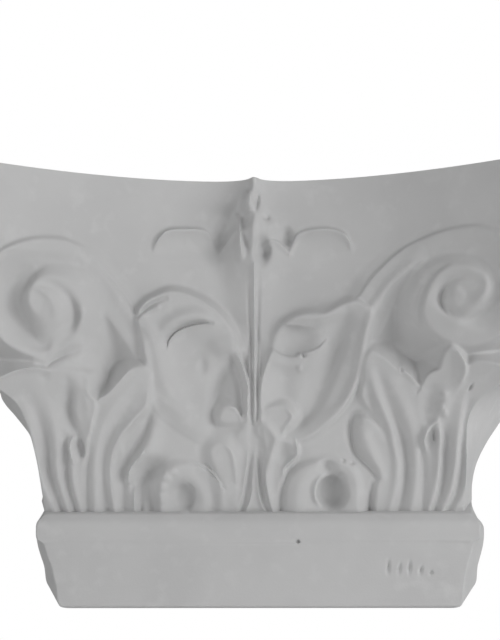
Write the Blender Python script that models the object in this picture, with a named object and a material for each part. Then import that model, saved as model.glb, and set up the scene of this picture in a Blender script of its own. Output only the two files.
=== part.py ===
"""A corbel cast in plaster: half of a leafed capital over a plain moulding, flat at the back.

It is one piece. The face is worked out as the distance of every point of it from the wall:
a hollow bell first, and then the scrolls and leaves laid over it and the grooves cut in.
Metres, +Z up, the wall at Y = 0, the face towards -Y, the origin in the middle of the back.
"""
import bpy
import bmesh
import numpy as np

# Driving sizes, in metres
HEIGHT = 0.2130              # underside to top bed
TOP_WIDTH = 0.2660           # across the horns, arris to arris
TOP_SPREAD = 0.0100          # the sides widen by this much from the arris to the wall, at the top
HORN_REACH = 0.1100          # wall to the face at the horns
MIDDLE_REACH = 0.0530        # wall to the bell at the middle, near the top
RIB_REACH = 0.0090           # how far the middle rib stands out of the hollow face
NECK_WIDTH = 0.2090          # across the leaves just above the moulding
NECK_SPREAD = 0.0115         # widening from arris to wall at the neck
NECK_REACH = 0.0440          # wall to the bell behind the leaves' feet
MOULDING_HEIGHT = 0.0463
MOULDING_WIDTH = 0.2172      # across the bead, arris to arris
MOULDING_REACH = 0.0640      # wall to the front of the bead
MOULDING_FOOT_IN = 0.0080    # how far the moulding's front runs back in at its underside
MOULDING_SPREAD = 0.0150     # widening from arris to wall at the moulding
MOULDING_OFF = 0.0010        # how far right of the middle the moulding's top was cut
MOULDING_LEAN = 0.0010       # and how much further right its underside
CARVING_DEPTH = 0.0125       # how far the scrolls stand out of the bell
ROW_STEP = 0.0012            # spacing of the points that the face is worked out on
LEVEL_GAP = 0.0002           # between the moulding's top level and the carving's first
FACE_TRIANGLES = 9600        # what the finished solid is thinned to
FLAT_WITHIN = 0.0004         # points this near the back, top or underside lie in it
SMOOTH_UNDER = 40.0          # degrees between faces that are shaded as one surface

# The carving is drawn on a sheet in millimetres, as the right half of the face, and fitted to the sizes
SHEET_HEIGHT = 215.0
SHEET_FOOT = 48.3
SHEET_TOP_HALF = 133.0
SHEET_NECK_HALF = 104.5
SHEET_DEPTH = 9.5
WALL_RUN = 7.0               # how far outside its edge a form's falling wall is worked out
WORN = 0.8                   # how far the whole carving is rubbed down
RIB_RUN = 2.4                # half widths of a rib, past which it is as good as flat
FAR_BACK = -50.0             # a lift so low that the form doesn't show
BELL_LEANS_TO = 175.0        # height up to which the bell leans out
ARRIS_HEIGHTS = (150.0, 196.0)   # where the arris up the top field's middle begins, and where it is full
ARRIS_HALF = 7.0
LIP_HEIGHTS = (180.0, 197.0)     # where the top field begins to swell, and where it stands out in full
LIP_REACH = 0.0020           # metres, as on the part
LIP_RISE = 0.07              # how much lower the swelling sits towards the horns, for each millimetre across
LEFT, RIGHT = -1, 1
BOTH = (LEFT, RIGHT)

PLASTER = (0.66, 0.66, 0.65, 1.0)


def ease(start, end, value):
    """0 before start, 1 after end, and an even change between them."""
    share = np.clip((value - start) / (end - start), 0, 1)
    return share * share * (3 - 2 * share)


def curve(rows, closed=False, steps=8):
    """Points on a smooth curve through the given rows."""
    rows = np.array(rows, float)
    if closed:
        ends = np.vstack([rows[-1:], rows, rows[:2]])
    else:
        ends = np.vstack([2 * rows[0] - rows[1], rows, 2 * rows[-1] - rows[-2]])
    share = np.linspace(0, 1, steps, endpoint=False)[:, None]
    points = []
    for a, b, c, d in zip(ends, ends[1:], ends[2:], ends[3:]):
        points.append(b + 0.5 * share * ((c - a) + share * ((2 * a - 5 * b + 4 * c - d)
                                                            + share * (3 * b - a - 3 * c + d))))
    points.append(rows[:1] if closed else rows[-1:])
    return np.vstack(points)


# Half the width on the sheet at each height, from the middle to the arris and from the middle to the wall
ARRIS_OUTLINE = {LEFT: ((47.5, 106), (69, 107.8), (84, 110), (95, 113), (103, 116.5), (108, 121.5),
                        (112, 125.5), (117, 127), (132, 126.5), (150, 127), (165, 128), (180, 130.5),
                        (190, 132.5), (215, 133)),
                 RIGHT: ((47.5, 104.5), (69, 105.2), (85, 104.8), (93, 105), (99, 106.6), (104, 109.6),
                         (108, 114), (112, 120), (116, 124.5), (121, 126.5), (132, 126.5), (150, 127),
                         (165, 128), (180, 130.5), (190, 132.5), (215, 133))}
WALL_OUTLINE = {LEFT: ((47.5, 108.1), (58, 106.4), (69, 107.5), (77, 111), (84, 114.5), (95, 123.3),
                       (102, 129.5), (108, 132.5), (120, 133.5), (215, 133)),
                RIGHT: ((47.5, 107.2), (58, 107.8), (69, 110.7), (80, 116.5), (92, 124.7), (102, 130.2),
                        (108, 133), (120, 133.5), (215, 133))}


def sheet_half(high, outline):
    """Half a width on the sheet at each height, along a smooth line through the outline's points."""
    rows = curve(outline)
    return np.interp(high, rows[:, 0], rows[:, 1])


def both_halves(across, left, right):
    """Places across the face from -1 to 1, as places between the left and the right half width."""
    return across * np.where(across < 0, left, right)


class Face:
    """The face as a sheet of distances from the wall, in sheet millimetres, that forms are laid on."""

    def __init__(self, x, z, bell):
        self.x, self.z = x, z
        self.ground = bell
        self.front = bell.copy()

    def near(self, side, rows, reach):
        """Which points of the face lie near the rows, and where they are."""
        x = self.x * side
        low, high = rows[:, :2].min(axis=0) - reach, rows[:, :2].max(axis=0) + reach
        mask = (x > low[0]) & (x < high[0]) & (self.z > low[1]) & (self.z < high[1])
        return mask, x[mask], self.z[mask]

    def follow(self, x, z, rows):
        """Distance from a path, which hand of it, and the path's own values at the nearest place."""
        nearest = np.full(x.shape, np.inf)
        hand = np.ones_like(x)
        values = np.zeros((rows.shape[1], x.size))
        for a, b in zip(rows, rows[1:]):
            run, rise = b[0] - a[0], b[1] - a[1]
            share = np.clip(((x - a[0]) * run + (z - a[1]) * rise) / max(run**2 + rise**2, 1e-12), 0, 1)
            dx, dz = x - a[0] - share * run, z - a[1] - share * rise
            distance = np.hypot(dx, dz)
            closer = distance < nearest
            nearest[closer] = distance[closer]
            hand[closer] = np.sign(run * dz - rise * dx)[closer]
            for k in range(2, rows.shape[1]):
                values[k][closer] = (a[k] + share * (b[k] - a[k]))[closer]
        return nearest, hand, values

    def lay(self, mask, lift, soft):
        """Lays a form over the face: the higher of the two, with a soft joint."""
        front, top = self.front[mask], self.ground[mask] + lift
        share = np.clip(0.5 + 0.5 * (top - front) / soft, 0, 1)
        self.front[mask] = front + (top - front) * share + 0.5 * soft * share * (1 - share)

    def leaf(self, side, edge, way, low, high, rim=0.0, rim_width=2.0, dish=0.0, wall=1.8, soft=1.2):
        """A blade inside a closed edge, from its low lift at the foot of its way to its high lift."""
        rows = curve(edge, closed=True)
        mask, x, z = self.near(side, rows, WALL_RUN)
        distance, _, _ = self.follow(x, z, rows)
        inside = np.zeros(x.shape, bool)
        for a, b in zip(rows, rows[1:]):
            if a[1] != b[1]:
                crossing = a[0] + (z - a[1]) * (b[0] - a[0]) / (b[1] - a[1])
                inside ^= ((a[1] > z) != (b[1] > z)) & (x < crossing)
        foot, tip = np.array(way, float)
        run = tip - foot
        share = ((x - foot[0]) * run[0] + (z - foot[1]) * run[1]) / (run @ run)
        lift = low + (high - low) * np.clip(share, 0, 1)
        edge_share = np.exp(-distance / rim_width)
        blade = lift + rim * edge_share - dish * (1 - edge_share)
        self.lay(mask, np.where(inside, blade, lift + rim - wall * distance), soft)

    def roll(self, side, path, crown=0.8, wall=1.8, soft=1.2):
        """A rounded strap along a path of x, z, half width and lift."""
        rows = curve(path)
        mask, x, z = self.near(side, rows, rows[:, 2].max() + WALL_RUN)
        distance, _, values = self.follow(x, z, rows)
        width, lift = np.maximum(values[2], 0.05), values[3]
        across = np.minimum(distance / width, 1)
        top = lift + crown * (1 - across**2) - wall * np.maximum(distance - width, 0)
        self.lay(mask, top, soft)

    def rib(self, side, path, sharp=0, crisp=1.0):
        """A soft rib along a path of x, z, half width and height, or a groove where the height is below 0.

        Where sharp is IN or OUT, that side of a path drawn upwards falls away at once, as at a leaf's edge.
        """
        rows = curve(path)
        mask, x, z = self.near(side, rows, RIB_RUN * rows[:, 2].max())
        distance, hand, values = self.follow(x, z, rows)
        width = np.maximum(values[2], 0.05)
        if sharp:
            width = np.where(hand == sharp, crisp, width)
        self.front[mask] += values[3] * np.exp(-((distance / width) ** 2))

    def spot(self, side, x, z, half_wide, half_high, height, turn=0.0, steep=1.5):
        """A soft knob, or a hollow where the height is below 0, with a harder edge where steep is more."""
        angle = np.radians(turn)
        dx, dz = self.x * side - x, self.z - z
        along = (dx * np.cos(angle) + dz * np.sin(angle)) / half_wide
        up = (dz * np.cos(angle) - dx * np.sin(angle)) / half_high
        self.front += height * np.exp(-((along**2 + up**2) ** steep))

    def rub(self, size):
        """Softens the whole face: its edges are rubbed down and rounded by the casting."""
        for axis, places in enumerate((self.z, self.x)):
            step = np.abs(np.diff(places, axis=axis)).max()
            reach = int(3 * size / step) + 1
            weights = np.exp(-0.5 * (np.arange(-reach, reach + 1) * step / size) ** 2)
            count = self.front.shape[axis]
            padded = np.pad(self.front, [(reach, reach) if k == axis else (0, 0) for k in (0, 1)],
                            mode="edge")
            self.front = sum(weight * np.take(padded, range(k, k + count), axis=axis)
                             for k, weight in enumerate(weights / weights.sum()))


# Places on the sheet that are rubbed smooth, on both halves: x, z, how far round, and how much
RUBBED = ((79.5, 175.0, 5.5, 2.4), (71.5, 134.0, 5.0, 1.6))

IN, OUT = 1, -1              # towards the middle of the face, and away from it

# Each scroll's centre, and its rows at turns of the winding: the turn, the band's outer radius there and
# its lift, then the radius of the valley in its face, and the valley's depth, width outwards and inwards
SCROLLS = {LEFT: (99.3, 151.0, [(-0.28, 40.0, -4.0, 22.0, 0.0, 8.0, 6.0),
                                (-0.18, 33.5, -1.0, 20.0, 0.4, 8.0, 6.0),
                                (-0.10, 32.3, 1.4, 18.5, 1.2, 8.0, 5.0),
                                (-0.05, 31.6, 2.2, 17.5, 2.2, 8.0, 4.5),
                                (0.0, 30.0, 2.8, 16.5, 3.8, 9.0, 4.0),
                                (0.11, 27.0, 4.4, 15.4, 7.8, 8.8, 4.8),
                                (0.25, 26.4, 5.8, 15.4, 10.6, 8.0, 5.4),
                                (0.34, 26.4, 6.4, 15.6, 9.4, 8.0, 5.8),
                                (0.41, 26.5, 6.6, 18.0, 6.2, 5.0, 8.0),
                                (0.49, 26.1, 6.8, 20.8, 3.4, 2.2, 9.0),
                                (0.56, 22.6, 6.8, 17.4, 3.4, 2.2, 7.0),
                                (0.61, 19.9, 6.8, 15.0, 3.6, 2.6, 5.5),
                                (0.70, 17.0, 6.6, 12.0, 4.0, 2.8, 3.4),
                                (0.79, 15.3, 6.2, 10.0, 2.2, 2.4, 2.4),
                                (0.88, 14.4, 5.8, 9.2, 1.0, 1.8, 1.8),
                                (0.98, 12.4, 5.4, 8.6, 0.4, 1.4, 1.4), (1.08, 9.6, 5.6, 6.0, 0.2, 1.0, 1.0),
                                (1.21, 7.6, 6.0, 3.0, 0.0, 1.0, 1.0),
                                (1.50, 7.0, 6.0, 3.0, 0.0, 1.0, 1.0)]),
           RIGHT: (100.0, 154.0, [(-0.28, 48.0, -4.0, 24.0, 0.0, 8.0, 6.0),
                                  (-0.19, 40.4, -1.0, 23.0, 0.6, 8.0, 6.0),
                                  (-0.144, 36.3, 0.8, 21.5, 1.6, 8.0, 6.0),
                                  (-0.087, 32.8, 1.6, 19.5, 2.6, 7.0, 5.0),
                                  (-0.028, 31.5, 2.0, 18.0, 3.0, 8.0, 4.5),
                                  (0.034, 30.5, 2.6, 17.0, 3.4, 9.0, 4.5),
                                  (0.12, 28.5, 3.6, 16.0, 4.4, 9.0, 4.5),
                                  (0.25, 26.4, 5.0, 15.0, 5.2, 9.0, 4.5),
                                  (0.38, 26.0, 6.0, 13.5, 3.4, 7.0, 5.0),
                                  (0.49, 24.6, 6.6, 11.2, 1.6, 3.0, 3.0),
                                  (0.60, 21.7, 7.2, 9.4, 2.4, 1.9, 1.8),
                                  (0.72, 18.9, 7.4, 8.4, 3.2, 4.4, 1.8),
                                  (0.78, 17.9, 7.2, 8.2, 3.2, 4.2, 1.8),
                                  (0.85, 16.4, 6.8, 8.0, 2.4, 3.8, 1.8),
                                  (0.92, 14.4, 6.2, 7.8, 2.0, 1.6, 1.6),
                                  (0.99, 12.2, 5.8, 7.6, 0.9, 1.5, 1.5),
                                  (1.11, 10.2, 5.6, 6.0, 0.2, 1.0, 1.0),
                                  (1.20, 8.6, 5.6, 3.0, 0.0, 1.0, 1.0),
                                  (1.35, 7.2, 5.8, 3.0, 0.0, 1.0, 1.0),
                                  (1.50, 6.8, 5.8, 3.0, 0.0, 1.0, 1.0)])}
# The part of the sheet that the scrolls reach: from the middle, and from the foot
SCROLL_FROM, SCROLL_LOW, SCROLL_HIGH = 56, 116, 194
SCROLL_START = -0.28         # turns, where the stem runs into the scroll
EYE_LIFT = 6.3
EYE_INSIDE = 0.4             # how far inside the band's last turn the eye's edge lies
EYE_WALL = 1.2
EYE_CROWN = 0.008            # how fast the eye rounds down from its middle
# How steeply the band falls away outside its edge at turns of the winding, and how softly it meets the face
SCROLL_WALLS = {LEFT: ((-0.3, 1.6, 0.8), (0.1, 1.4, 0.8), (0.45, 1.2, 1.0), (0.56, 0.6, 3.0),
                       (0.85, 0.4, 3.0), (1.0, 0.8, 1.4), (1.12, 1.3, 0.9), (1.5, 1.0, 1.4)),
                RIGHT: ((-0.3, 1.6, 0.8), (0.1, 1.4, 0.8), (0.5, 1.2, 1.0), (0.62, 1.0, 3.0),
                        (0.85, 0.8, 2.4), (0.95, 0.8, 1.4), (1.1, 0.8, 0.9), (1.5, 0.6, 1.4))}


def scrolls(face):
    """A band wound in on itself at each top corner, hollowed beside each inner turn, round a raised eye."""
    for side, (middle_x, middle_z, rows) in SCROLLS.items():
        turns, edge, rim, valley, depth, wide_out, wide_in = curve(rows, steps=5).T
        wall_turns, walls, softs = np.array(SCROLL_WALLS[side]).T
        mask = (face.x * side > SCROLL_FROM) & (face.z > SCROLL_LOW) & (face.z < SCROLL_HIGH)
        x, z = face.x[mask] * side - middle_x, face.z[mask] - middle_z
        radius = np.hypot(x, z)
        first = np.mod(np.arctan2(x, z) / (2 * np.pi) - SCROLL_START, 1.0) + SCROLL_START
        lift = np.full(x.shape, FAR_BACK)
        soft = np.ones(x.shape)
        for coil in (0, 1):
            turn = first + coil
            outer, high = np.interp(turn, turns, edge), np.interp(turn, turns, rim)
            off = radius - np.interp(turn, turns, valley)
            spread = np.where(off > 0, np.interp(turn, turns, wide_out), np.interp(turn, turns, wide_in))
            top = high - np.interp(turn, turns, depth) * np.exp(-((off / spread) ** 2))
            wall = np.interp(turn, wall_turns, walls)
            coil_lift = np.where(radius < outer, top, high - wall * (radius - outer))
            soft = np.where(coil_lift > lift, np.interp(turn, wall_turns, softs), soft)
            lift = np.maximum(lift, coil_lift)
        eye = edge[-1] - EYE_INSIDE
        dome = EYE_LIFT - EYE_CROWN * np.minimum(radius, eye) ** 2
        lift = np.maximum(lift, dome - EYE_WALL * np.maximum(radius - eye, 0))
        face.lay(mask, lift, soft)
    # the crescent that stands up beside each eye
    face.rib(LEFT, [(99, 140, 2.6, 0.4), (95, 143, 3.0, 1.5), (94.2, 148.4, 3.2, 2.0),
                    (96.7, 153.6, 2.8, 1.8), (101, 157.2, 2.0, 1.2), (106, 158.8, 1.2, 0.2)], sharp=IN,
             crisp=1.6)
    face.rib(RIGHT, [(95.6, 140.5, 3.4, 0.8), (102.3, 145, 3.8, 2.2), (107.5, 150.4, 3.8, 2.6),
                     (110.1, 156.1, 3.0, 2.4), (109.1, 161.3, 2.0, 1.4), (105.5, 166.5, 1.2, 0.2)], sharp=OUT,
             crisp=2.4)


def hollows(face):
    """The deep places between the stems, the scrolls and the lower ring of leaves."""
    for side in BOTH:
        face.rib(side, [(97, 124, 6, 1.6), (88, 132, 7, 2.6), (83, 142, 7, 3.0), (81, 154, 6, 2.0)])
        face.rib(side, [(62, 116, 9, -2.6), (66, 126, 10, -4.0), (71, 136, 10, -4.6), (76, 145, 9, -4.2),
                        (80, 153, 6, -2.4)], sharp=IN, crisp=7.0)
        face.rib(side, [(109, 124, 4, -1.0), (115, 124.5, 5, -3.6), (122, 125.5, 7, -5.6),
                        (132, 127, 7, -5.6)])
    face.rib(LEFT, [(112, 123, 3, -0.6), (118, 123.5, 5, -4.0), (125, 124, 6, -7.0), (137, 125, 7, -8.0)])
    face.rib(LEFT, [(70, 108, 5, -1.6), (72, 116, 7, -3.0), (74, 124, 7, -2.0)])
    face.roll(LEFT, [(92, 104, 7, 7.0), (93, 114, 8, 7.8), (93, 121, 8, 7.2), (91, 130, 7, 5.4)], crown=0.4,
              wall=0.7, soft=3.0)
    face.rib(RIGHT, [(83, 108, 4, -1.6), (84, 116, 6, -3.4), (84, 125, 7, -3.0), (88, 132, 7, -1.6)])
    face.rib(RIGHT, [(75, 130, 5, -0.8), (75.5, 140, 5, -2.4), (77, 150, 5, -3.0), (80, 159, 5, -2.4),
                     (85, 166, 4, -0.8)], sharp=OUT, crisp=2.6)


def stems(face):
    """The strap that comes out behind each calyx and runs up into the scroll."""
    face.leaf(LEFT, [(50.5, 128), (55, 137), (60, 146.5), (64.5, 154.5), (71.5, 164), (77.5, 173), (82, 172),
                     (83, 164), (82.5, 156.5), (78, 152), (72.5, 145.5), (66.5, 136.5), (61, 129),
                     (55.5, 120.5), (50, 118)], ((60, 140), (80, 166)), 3.2, 1.6, wall=0.7, soft=4.0)
    face.rib(LEFT, [(58, 124, 3.2, 0.3), (64, 134, 3.4, 0.5), (70, 143.5, 3.4, 0.4), (76, 151, 3.2, 0.3),
                    (82, 157.5, 2.8, 0.3), (86, 164, 2.4, 0.1)])
    face.rib(LEFT, [(53, 128, 2.6, 0.5), (58, 138, 2.8, 0.7), (62.5, 147, 3.0, 0.8), (67, 155, 3.2, 0.6),
                    (74, 165, 3.2, 0.5), (81, 173, 3.2, 0.3)])
    face.leaf(RIGHT, [(46, 118), (48, 132), (50, 146), (51.5, 153.5), (56, 161.5), (62.5, 169), (71.5, 176.2),
                      (78, 179), (80, 176), (79, 172), (74, 166),
                      (67, 159.5), (62, 152), (58, 144), (54, 132.5), (52, 118.5)],
              ((56, 140), (76, 172)), 4.6, 1.8, rim=0.2, wall=0.7, soft=2.4)
    face.rib(RIGHT, [(49.5, 120, 2.2, 0.6), (52.5, 132.5, 2.2, 1.2), (57, 146, 2.4, 1.5),
                     (62, 154.5, 2.4, 1.5), (67.5, 161.5, 2.4, 1.4), (74, 167.5, 2.4, 1.3),
                     (82, 172.5, 2.4, 1.1), (91, 176.5, 2.4, 0.4)], sharp=OUT, crisp=3.4)
    face.rib(RIGHT, [(60, 129.5, 1.4, 0.6), (63.5, 138, 1.8, 1.0), (68.5, 147.5, 1.6, 0.4)])


def band_lines(face):
    """The thin line along the upper side of each strap, where it stands out of the plain field."""
    face.rib(LEFT, [(55, 141.5, 1.2, -0.4), (60, 149.5, 1.5, -0.6), (65.5, 157.5, 1.5, -0.6),
                    (72, 166, 1.4, -0.7), (80, 176.5, 1.4, -0.4), (88, 181.5, 1.2, -0.3)], sharp=OUT,
             crisp=0.9)
    face.rib(RIGHT, [(52, 156, 2.0, -0.8), (57, 163.5, 2.0, -1.6), (63.5, 170.5, 2.0, -1.8),
                     (72, 177.5, 1.8, -1.4), (83, 182.8, 1.6, -1.0), (94, 185.5, 1.6, -0.6),
                     (107, 186.5, 1.6, -0.2)], sharp=OUT, crisp=0.8)


def fans(face):
    """The leaf that spreads behind the others, two lobes to a side, from a broad ridge up the middle."""
    edges = {LEFT: [(50, 178), (48.5, 184), (43.5, 189), (35, 190), (25, 189.5), (20.5, 184), (17.5, 176),
                    (14.5, 183), (11, 189), (6, 186), (2, 170), (6, 150), (20, 152), (42, 168)],
             RIGHT: [(49.5, 178), (47.5, 184), (44, 187.5), (37, 189.5), (28, 189), (22, 187), (19.5, 182),
                     (17.5, 177.5), (16, 182), (10, 184.5), (4, 181), (2, 168), (6, 150), (20, 152),
                     (42, 168)]}
    for side in BOTH:
        face.leaf(side, edges[side], ((24, 160), (30, 190)), -6.0, 2.2, rim=0.4, rim_width=3.0, wall=2.0,
                  soft=1.2)
    face.rib(RIGHT, [(0, 112, 5, 1.0), (0, 130, 7, 2.4), (0, 152, 10, 4.2), (0, 172, 12, 4.6),
                     (0, 190, 11, 2.5), (0, 205, 9, 0.8)])
    face.spot(LEFT, 19, 176, 6, 14, -1.6, turn=-12)


def fan_rims(face):
    """The crisp upper edges of the leaf behind the others, a broad lobe and a narrow one to a side."""
    outer = {LEFT: [(50, 179.5, 0.8, 0.2), (47.5, 184.6, 1.6, 0.7), (43, 188.8, 2.0, 0.9),
                    (35, 190, 2.2, 0.7), (26, 189.6, 2.2, 0.5), (22.2, 187, 1.8, 0.4), (20, 181, 1.2, 0.2)],
             RIGHT: [(48.5, 179.5, 0.8, 0.3), (47.4, 183.4, 1.4, 0.9), (44.2, 187, 1.8, 1.0),
                     (37, 189.5, 2.2, 0.9), (28, 189.4, 2.2, 0.7), (23, 187.8, 2.0, 0.6),
                     (20.4, 184.6, 1.8, 0.8), (18, 178, 1.4, 0.5)]}
    inner = {LEFT: [(17.4, 177.5, 1.0, 0.3), (15.4, 182, 1.6, 0.8), (12.6, 185.6, 1.8, 1.0),
                    (8.6, 190.5, 1.4, 0.3)],
             RIGHT: [(17.4, 178, 1.2, 0.4), (14.6, 181.8, 1.6, 0.9), (10, 184.4, 1.8, 1.0),
                     (5.5, 182.4, 1.6, 0.8), (2.5, 179, 1.2, 0.2)]}
    for side in BOTH:
        for rim in (outer[side], inner[side]):
            face.rib(side, rim, sharp=OUT, crisp=0.5)


def calyxes(face):
    """The leaf that wraps each stem beside the middle, troughed along its outer edge."""
    edges = {LEFT: [(57.5, 145), (54, 152), (48.5, 155.5), (42.5, 158), (36, 157.5), (28, 154.5),
                    (20, 149.5), (14, 143), (9.5, 135), (8.5, 127), (5, 118.5), (2.5, 108), (3, 94),
                    (10, 84), (22, 80), (32, 85), (41, 91), (48.5, 97), (51.5, 104), (53, 116),
                    (55.5, 132)],
             RIGHT: [(58.5, 146), (55, 150), (50.5, 152.5), (45.5, 151.5), (41, 149.5), (35, 146.5),
                     (28.5, 147), (22.5, 146), (16, 142.5), (11, 137), (8.5, 131), (5, 125), (2.5, 118.5),
                     (2, 108), (2, 95), (10, 84), (19.5, 82), (26, 83.5), (35, 89), (42.5, 96), (48, 103.5),
                     (52, 113), (55, 126)]}
    for side in BOTH:
        face.leaf(side, edges[side], ((15, 90), (35, 155)), 5.2, 6.2, rim=0.2, dish=0.4, rim_width=3.0,
                  wall=1.6, soft=2.0)
        face.rib(side, [(3, 90, 7, 1.6), (2.8, 107, 8, 3.0), (4.8, 118, 8, 3.0), (8.5, 128, 6, 1.6)],
                 sharp=IN, crisp=0.8)

    # the left one: its outer flank falls from a long crest, and a thick lip stands over a hollow
    face.rib(LEFT, [(26, 86, 4, 0.6), (32, 91.5, 5, 1.2), (37, 98, 6, 1.8), (41.5, 106.5, 6.4, 2.2),
                    (45.3, 116, 5.6, 2.4), (48, 127, 4.4, 2.3), (51, 137, 3.2, 2.0), (56.5, 144.5, 2.2, 1.0)])
    face.rib(LEFT, [(50.5, 101, 1.4, 0.5), (52, 109, 1.5, 1.2), (53, 120, 1.7, 1.5), (54.6, 133, 1.8, 1.3)])
    face.rib(LEFT, [(20, 90, 6, -1.2), (19.5, 97, 7, -2.8), (19, 106, 7, -4.0), (16.5, 114, 7, -4.2),
                    (10.5, 122.5, 6, -2.6)], sharp=OUT, crisp=3.4)
    face.spot(LEFT, 33, 130, 11, 9, -2.4, turn=-10)
    face.rib(LEFT, [(46, 133, 3, 0.4), (44, 139, 3.6, 2.2), (39.5, 143, 4, 3.2), (33, 145.5, 4.2, 3.4),
                    (26.5, 145.5, 4, 2.6), (20, 143, 3, 1.0)])
    face.spot(LEFT, 13.5, 130.5, 8, 5.5, 2.0, turn=20)
    face.spot(LEFT, 26.3, 121, 2.2, 3.6, -1.1)

    # the right one: a trough inside its edge, and an upper and a lower lobe with a hollow between them
    face.rib(RIGHT, [(19, 83.8, 3.0, 0.8), (26, 85, 3.4, 1.6), (34, 90.5, 3.6, 2.2), (41, 97, 3.6, 2.4),
                     (46.5, 104.5, 3.6, 2.4), (50.3, 113, 3.4, 2.4), (53.3, 125, 3.2, 2.2),
                     (55.5, 137, 2.8, 2.0), (57.5, 145, 2.2, 1.0)], sharp=OUT, crisp=1.3)
    face.rib(RIGHT, [(16, 89.5, 5, -0.8), (20.5, 91.3, 5, -1.8), (25.5, 95.3, 6, -2.8),
                     (30.5, 101.5, 7, -3.6), (36, 113, 7, -4.2), (42, 129, 7, -4.4), (45.5, 140, 6, -3.4),
                     (46.5, 147, 4, -1.4)], sharp=OUT, crisp=3.0)
    face.rib(RIGHT, [(17, 98, 5, -1.0), (15, 108, 6, -1.6), (14, 118, 6, -1.2)])
    face.spot(RIGHT, 20, 134, 11, 7.5, -3.6, turn=30)
    face.rib(RIGHT, [(16, 142, 2.4, 0.6), (22, 144, 4, 2.0), (30, 144.5, 4, 2.0), (38, 147, 4, 1.6),
                     (46, 149.5, 3, 0.8)])
    face.rib(RIGHT, [(8.5, 127.5, 2.4, 0.8), (13, 123.5, 4, 1.8), (20, 122.5, 4.4, 2.0), (28, 125, 4.4, 2.0),
                     (34, 128.5, 3.4, 1.4)])


def calyx_creases(face):
    """The fine edges of the calyxes: undercut lips, and the nicks and beads left on them."""
    face.rib(LEFT, [(44.4, 129, 1.0, -0.4), (43.2, 134, 1.3, -1.8), (39.6, 138.2, 1.4, -2.4),
                    (34, 141.0, 1.3, -2.6), (27, 142.5, 1.2, -2.4), (21, 142.2, 1.0, -0.8)], sharp=IN,
             crisp=0.5)
    face.rib(LEFT, [(57.5, 145.5, 0.8, -1.2), (54.5, 149, 1.2, -2.0), (49.5, 152.5, 1.3, -1.8),
                    (44, 154.5, 1.2, -0.8)])
    face.rib(LEFT, [(53, 147.8, 1.0, 0.6), (48, 149.8, 1.2, 1.2)])
    face.rib(RIGHT, [(9, 129.6, 1.0, 0.4), (12.5, 126.8, 1.6, 0.8), (16.5, 125.4, 1.8, 0.9),
                     (21, 125.6, 1.8, 0.9), (24.5, 127.2, 1.8, 1.1), (29, 128.2, 1.8, 1.2),
                     (33, 130.2, 1.8, 1.2), (36.4, 134, 1.4, 0.6)], sharp=IN, crisp=0.6)
    face.rib(RIGHT, [(16.5, 141.6, 1.2, 0.6), (22, 141, 1.6, 1.0), (28, 140, 2.0, 0.6)], sharp=OUT, crisp=0.6)
    face.spot(RIGHT, 24.5, 126.4, 1.2, 1.2, -1.4)
    face.spot(RIGHT, 22.6, 119.6, 1.5, 1.7, 0.9)
    face.spot(RIGHT, 22.6, 126.4, 1.4, 1.2, 0.9)
    for side in BOTH:
        face.rib(side, [(3, 94, 1.6, 0.5), (2.6, 107, 1.6, 0.9), (4.6, 118, 1.6, 0.9), (8.0, 127, 1.4, 0.5)],
                 sharp=IN, crisp=0.5)


def second_leaves(face):
    """The fluted leaf of the lower ring that stands under each stem."""
    edges = {LEFT: [(84, 40), (83, 60), (82, 76), (80, 92), (78, 103), (72, 108), (66.5, 114), (62, 119),
                    (56, 120.5), (52.5, 117), (52.2, 104), (56, 97.5), (62, 91), (67, 85), (66, 72),
                    (66, 40)],
             RIGHT: [(83, 40), (84, 60), (84, 76), (83, 92), (82, 103), (81.5, 109), (79, 113), (76, 116),
                     (72.5, 118.3), (70, 118.8), (66, 122.5), (62, 125.5), (57, 127.5), (54.5, 121),
                     (54, 112), (54, 104), (60, 96), (64, 88), (68, 78), (68, 60), (66, 40)]}
    for side in BOTH:
        face.leaf(side, edges[side], ((72, 62), (62, 120)), 5.4, 8.4, rim=0.3, wall=1.4, soft=1.4)
    # the rib along its inner edge, the flute beside it, and the broad rib outside
    face.rib(LEFT, [(69.5, 47, 3.4, 1.4), (71.5, 60, 3.4, 1.8), (72, 70, 3.4, 2.2), (70, 79, 3.2, 2.4),
                    (65.2, 87.2, 3.0, 2.4), (58.8, 95, 2.8, 2.2), (54.4, 99.5, 2.4, 1.6),
                    (52.6, 106, 2.0, 0.8)], sharp=IN, crisp=1.2)
    face.rib(LEFT, [(74, 47, 2.6, -1.4), (76, 62, 2.8, -1.8), (75.5, 76, 3.0, -1.8), (71.5, 89, 3.0, -1.6),
                    (64, 100, 3.0, -1.2), (58, 109, 3.0, -0.6)])
    face.rib(LEFT, [(80, 47, 2.8, 1.6), (79.5, 62, 3.0, 1.8), (78.5, 76, 3.0, 1.8), (75.5, 88, 3.2, 1.6),
                    (70, 100, 3.4, 1.4), (63, 110, 3.4, 1.0), (57, 117, 3.0, 0.6)])
    face.rib(RIGHT, [(66.5, 47, 3.0, 1.2), (69.5, 58, 3.0, 1.6), (70.8, 68, 3.0, 2.0), (70, 77, 3.0, 2.2),
                     (67.4, 87, 3.0, 2.2), (63, 98, 2.8, 2.0), (59.5, 108, 2.6, 1.4), (57.5, 118, 2.4, 0.8)])
    face.rib(RIGHT, [(71.5, 47, 2.4, -1.4), (74.6, 60, 2.6, -1.8), (75.2, 72, 2.6, -2.0),
                     (73.5, 84, 2.8, -2.0), (69.5, 96, 2.8, -1.6), (65, 107, 2.8, -1.0),
                     (61, 117, 2.6, -0.4)], sharp=OUT, crisp=1.8)
    face.rib(RIGHT, [(77.5, 47, 2.4, 1.2), (79.5, 60, 2.6, 1.4), (80, 74, 2.8, 1.4), (78, 88, 3.0, 1.2),
                     (73.5, 101, 3.0, 1.0), (67, 113, 3.0, 0.8)])


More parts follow.
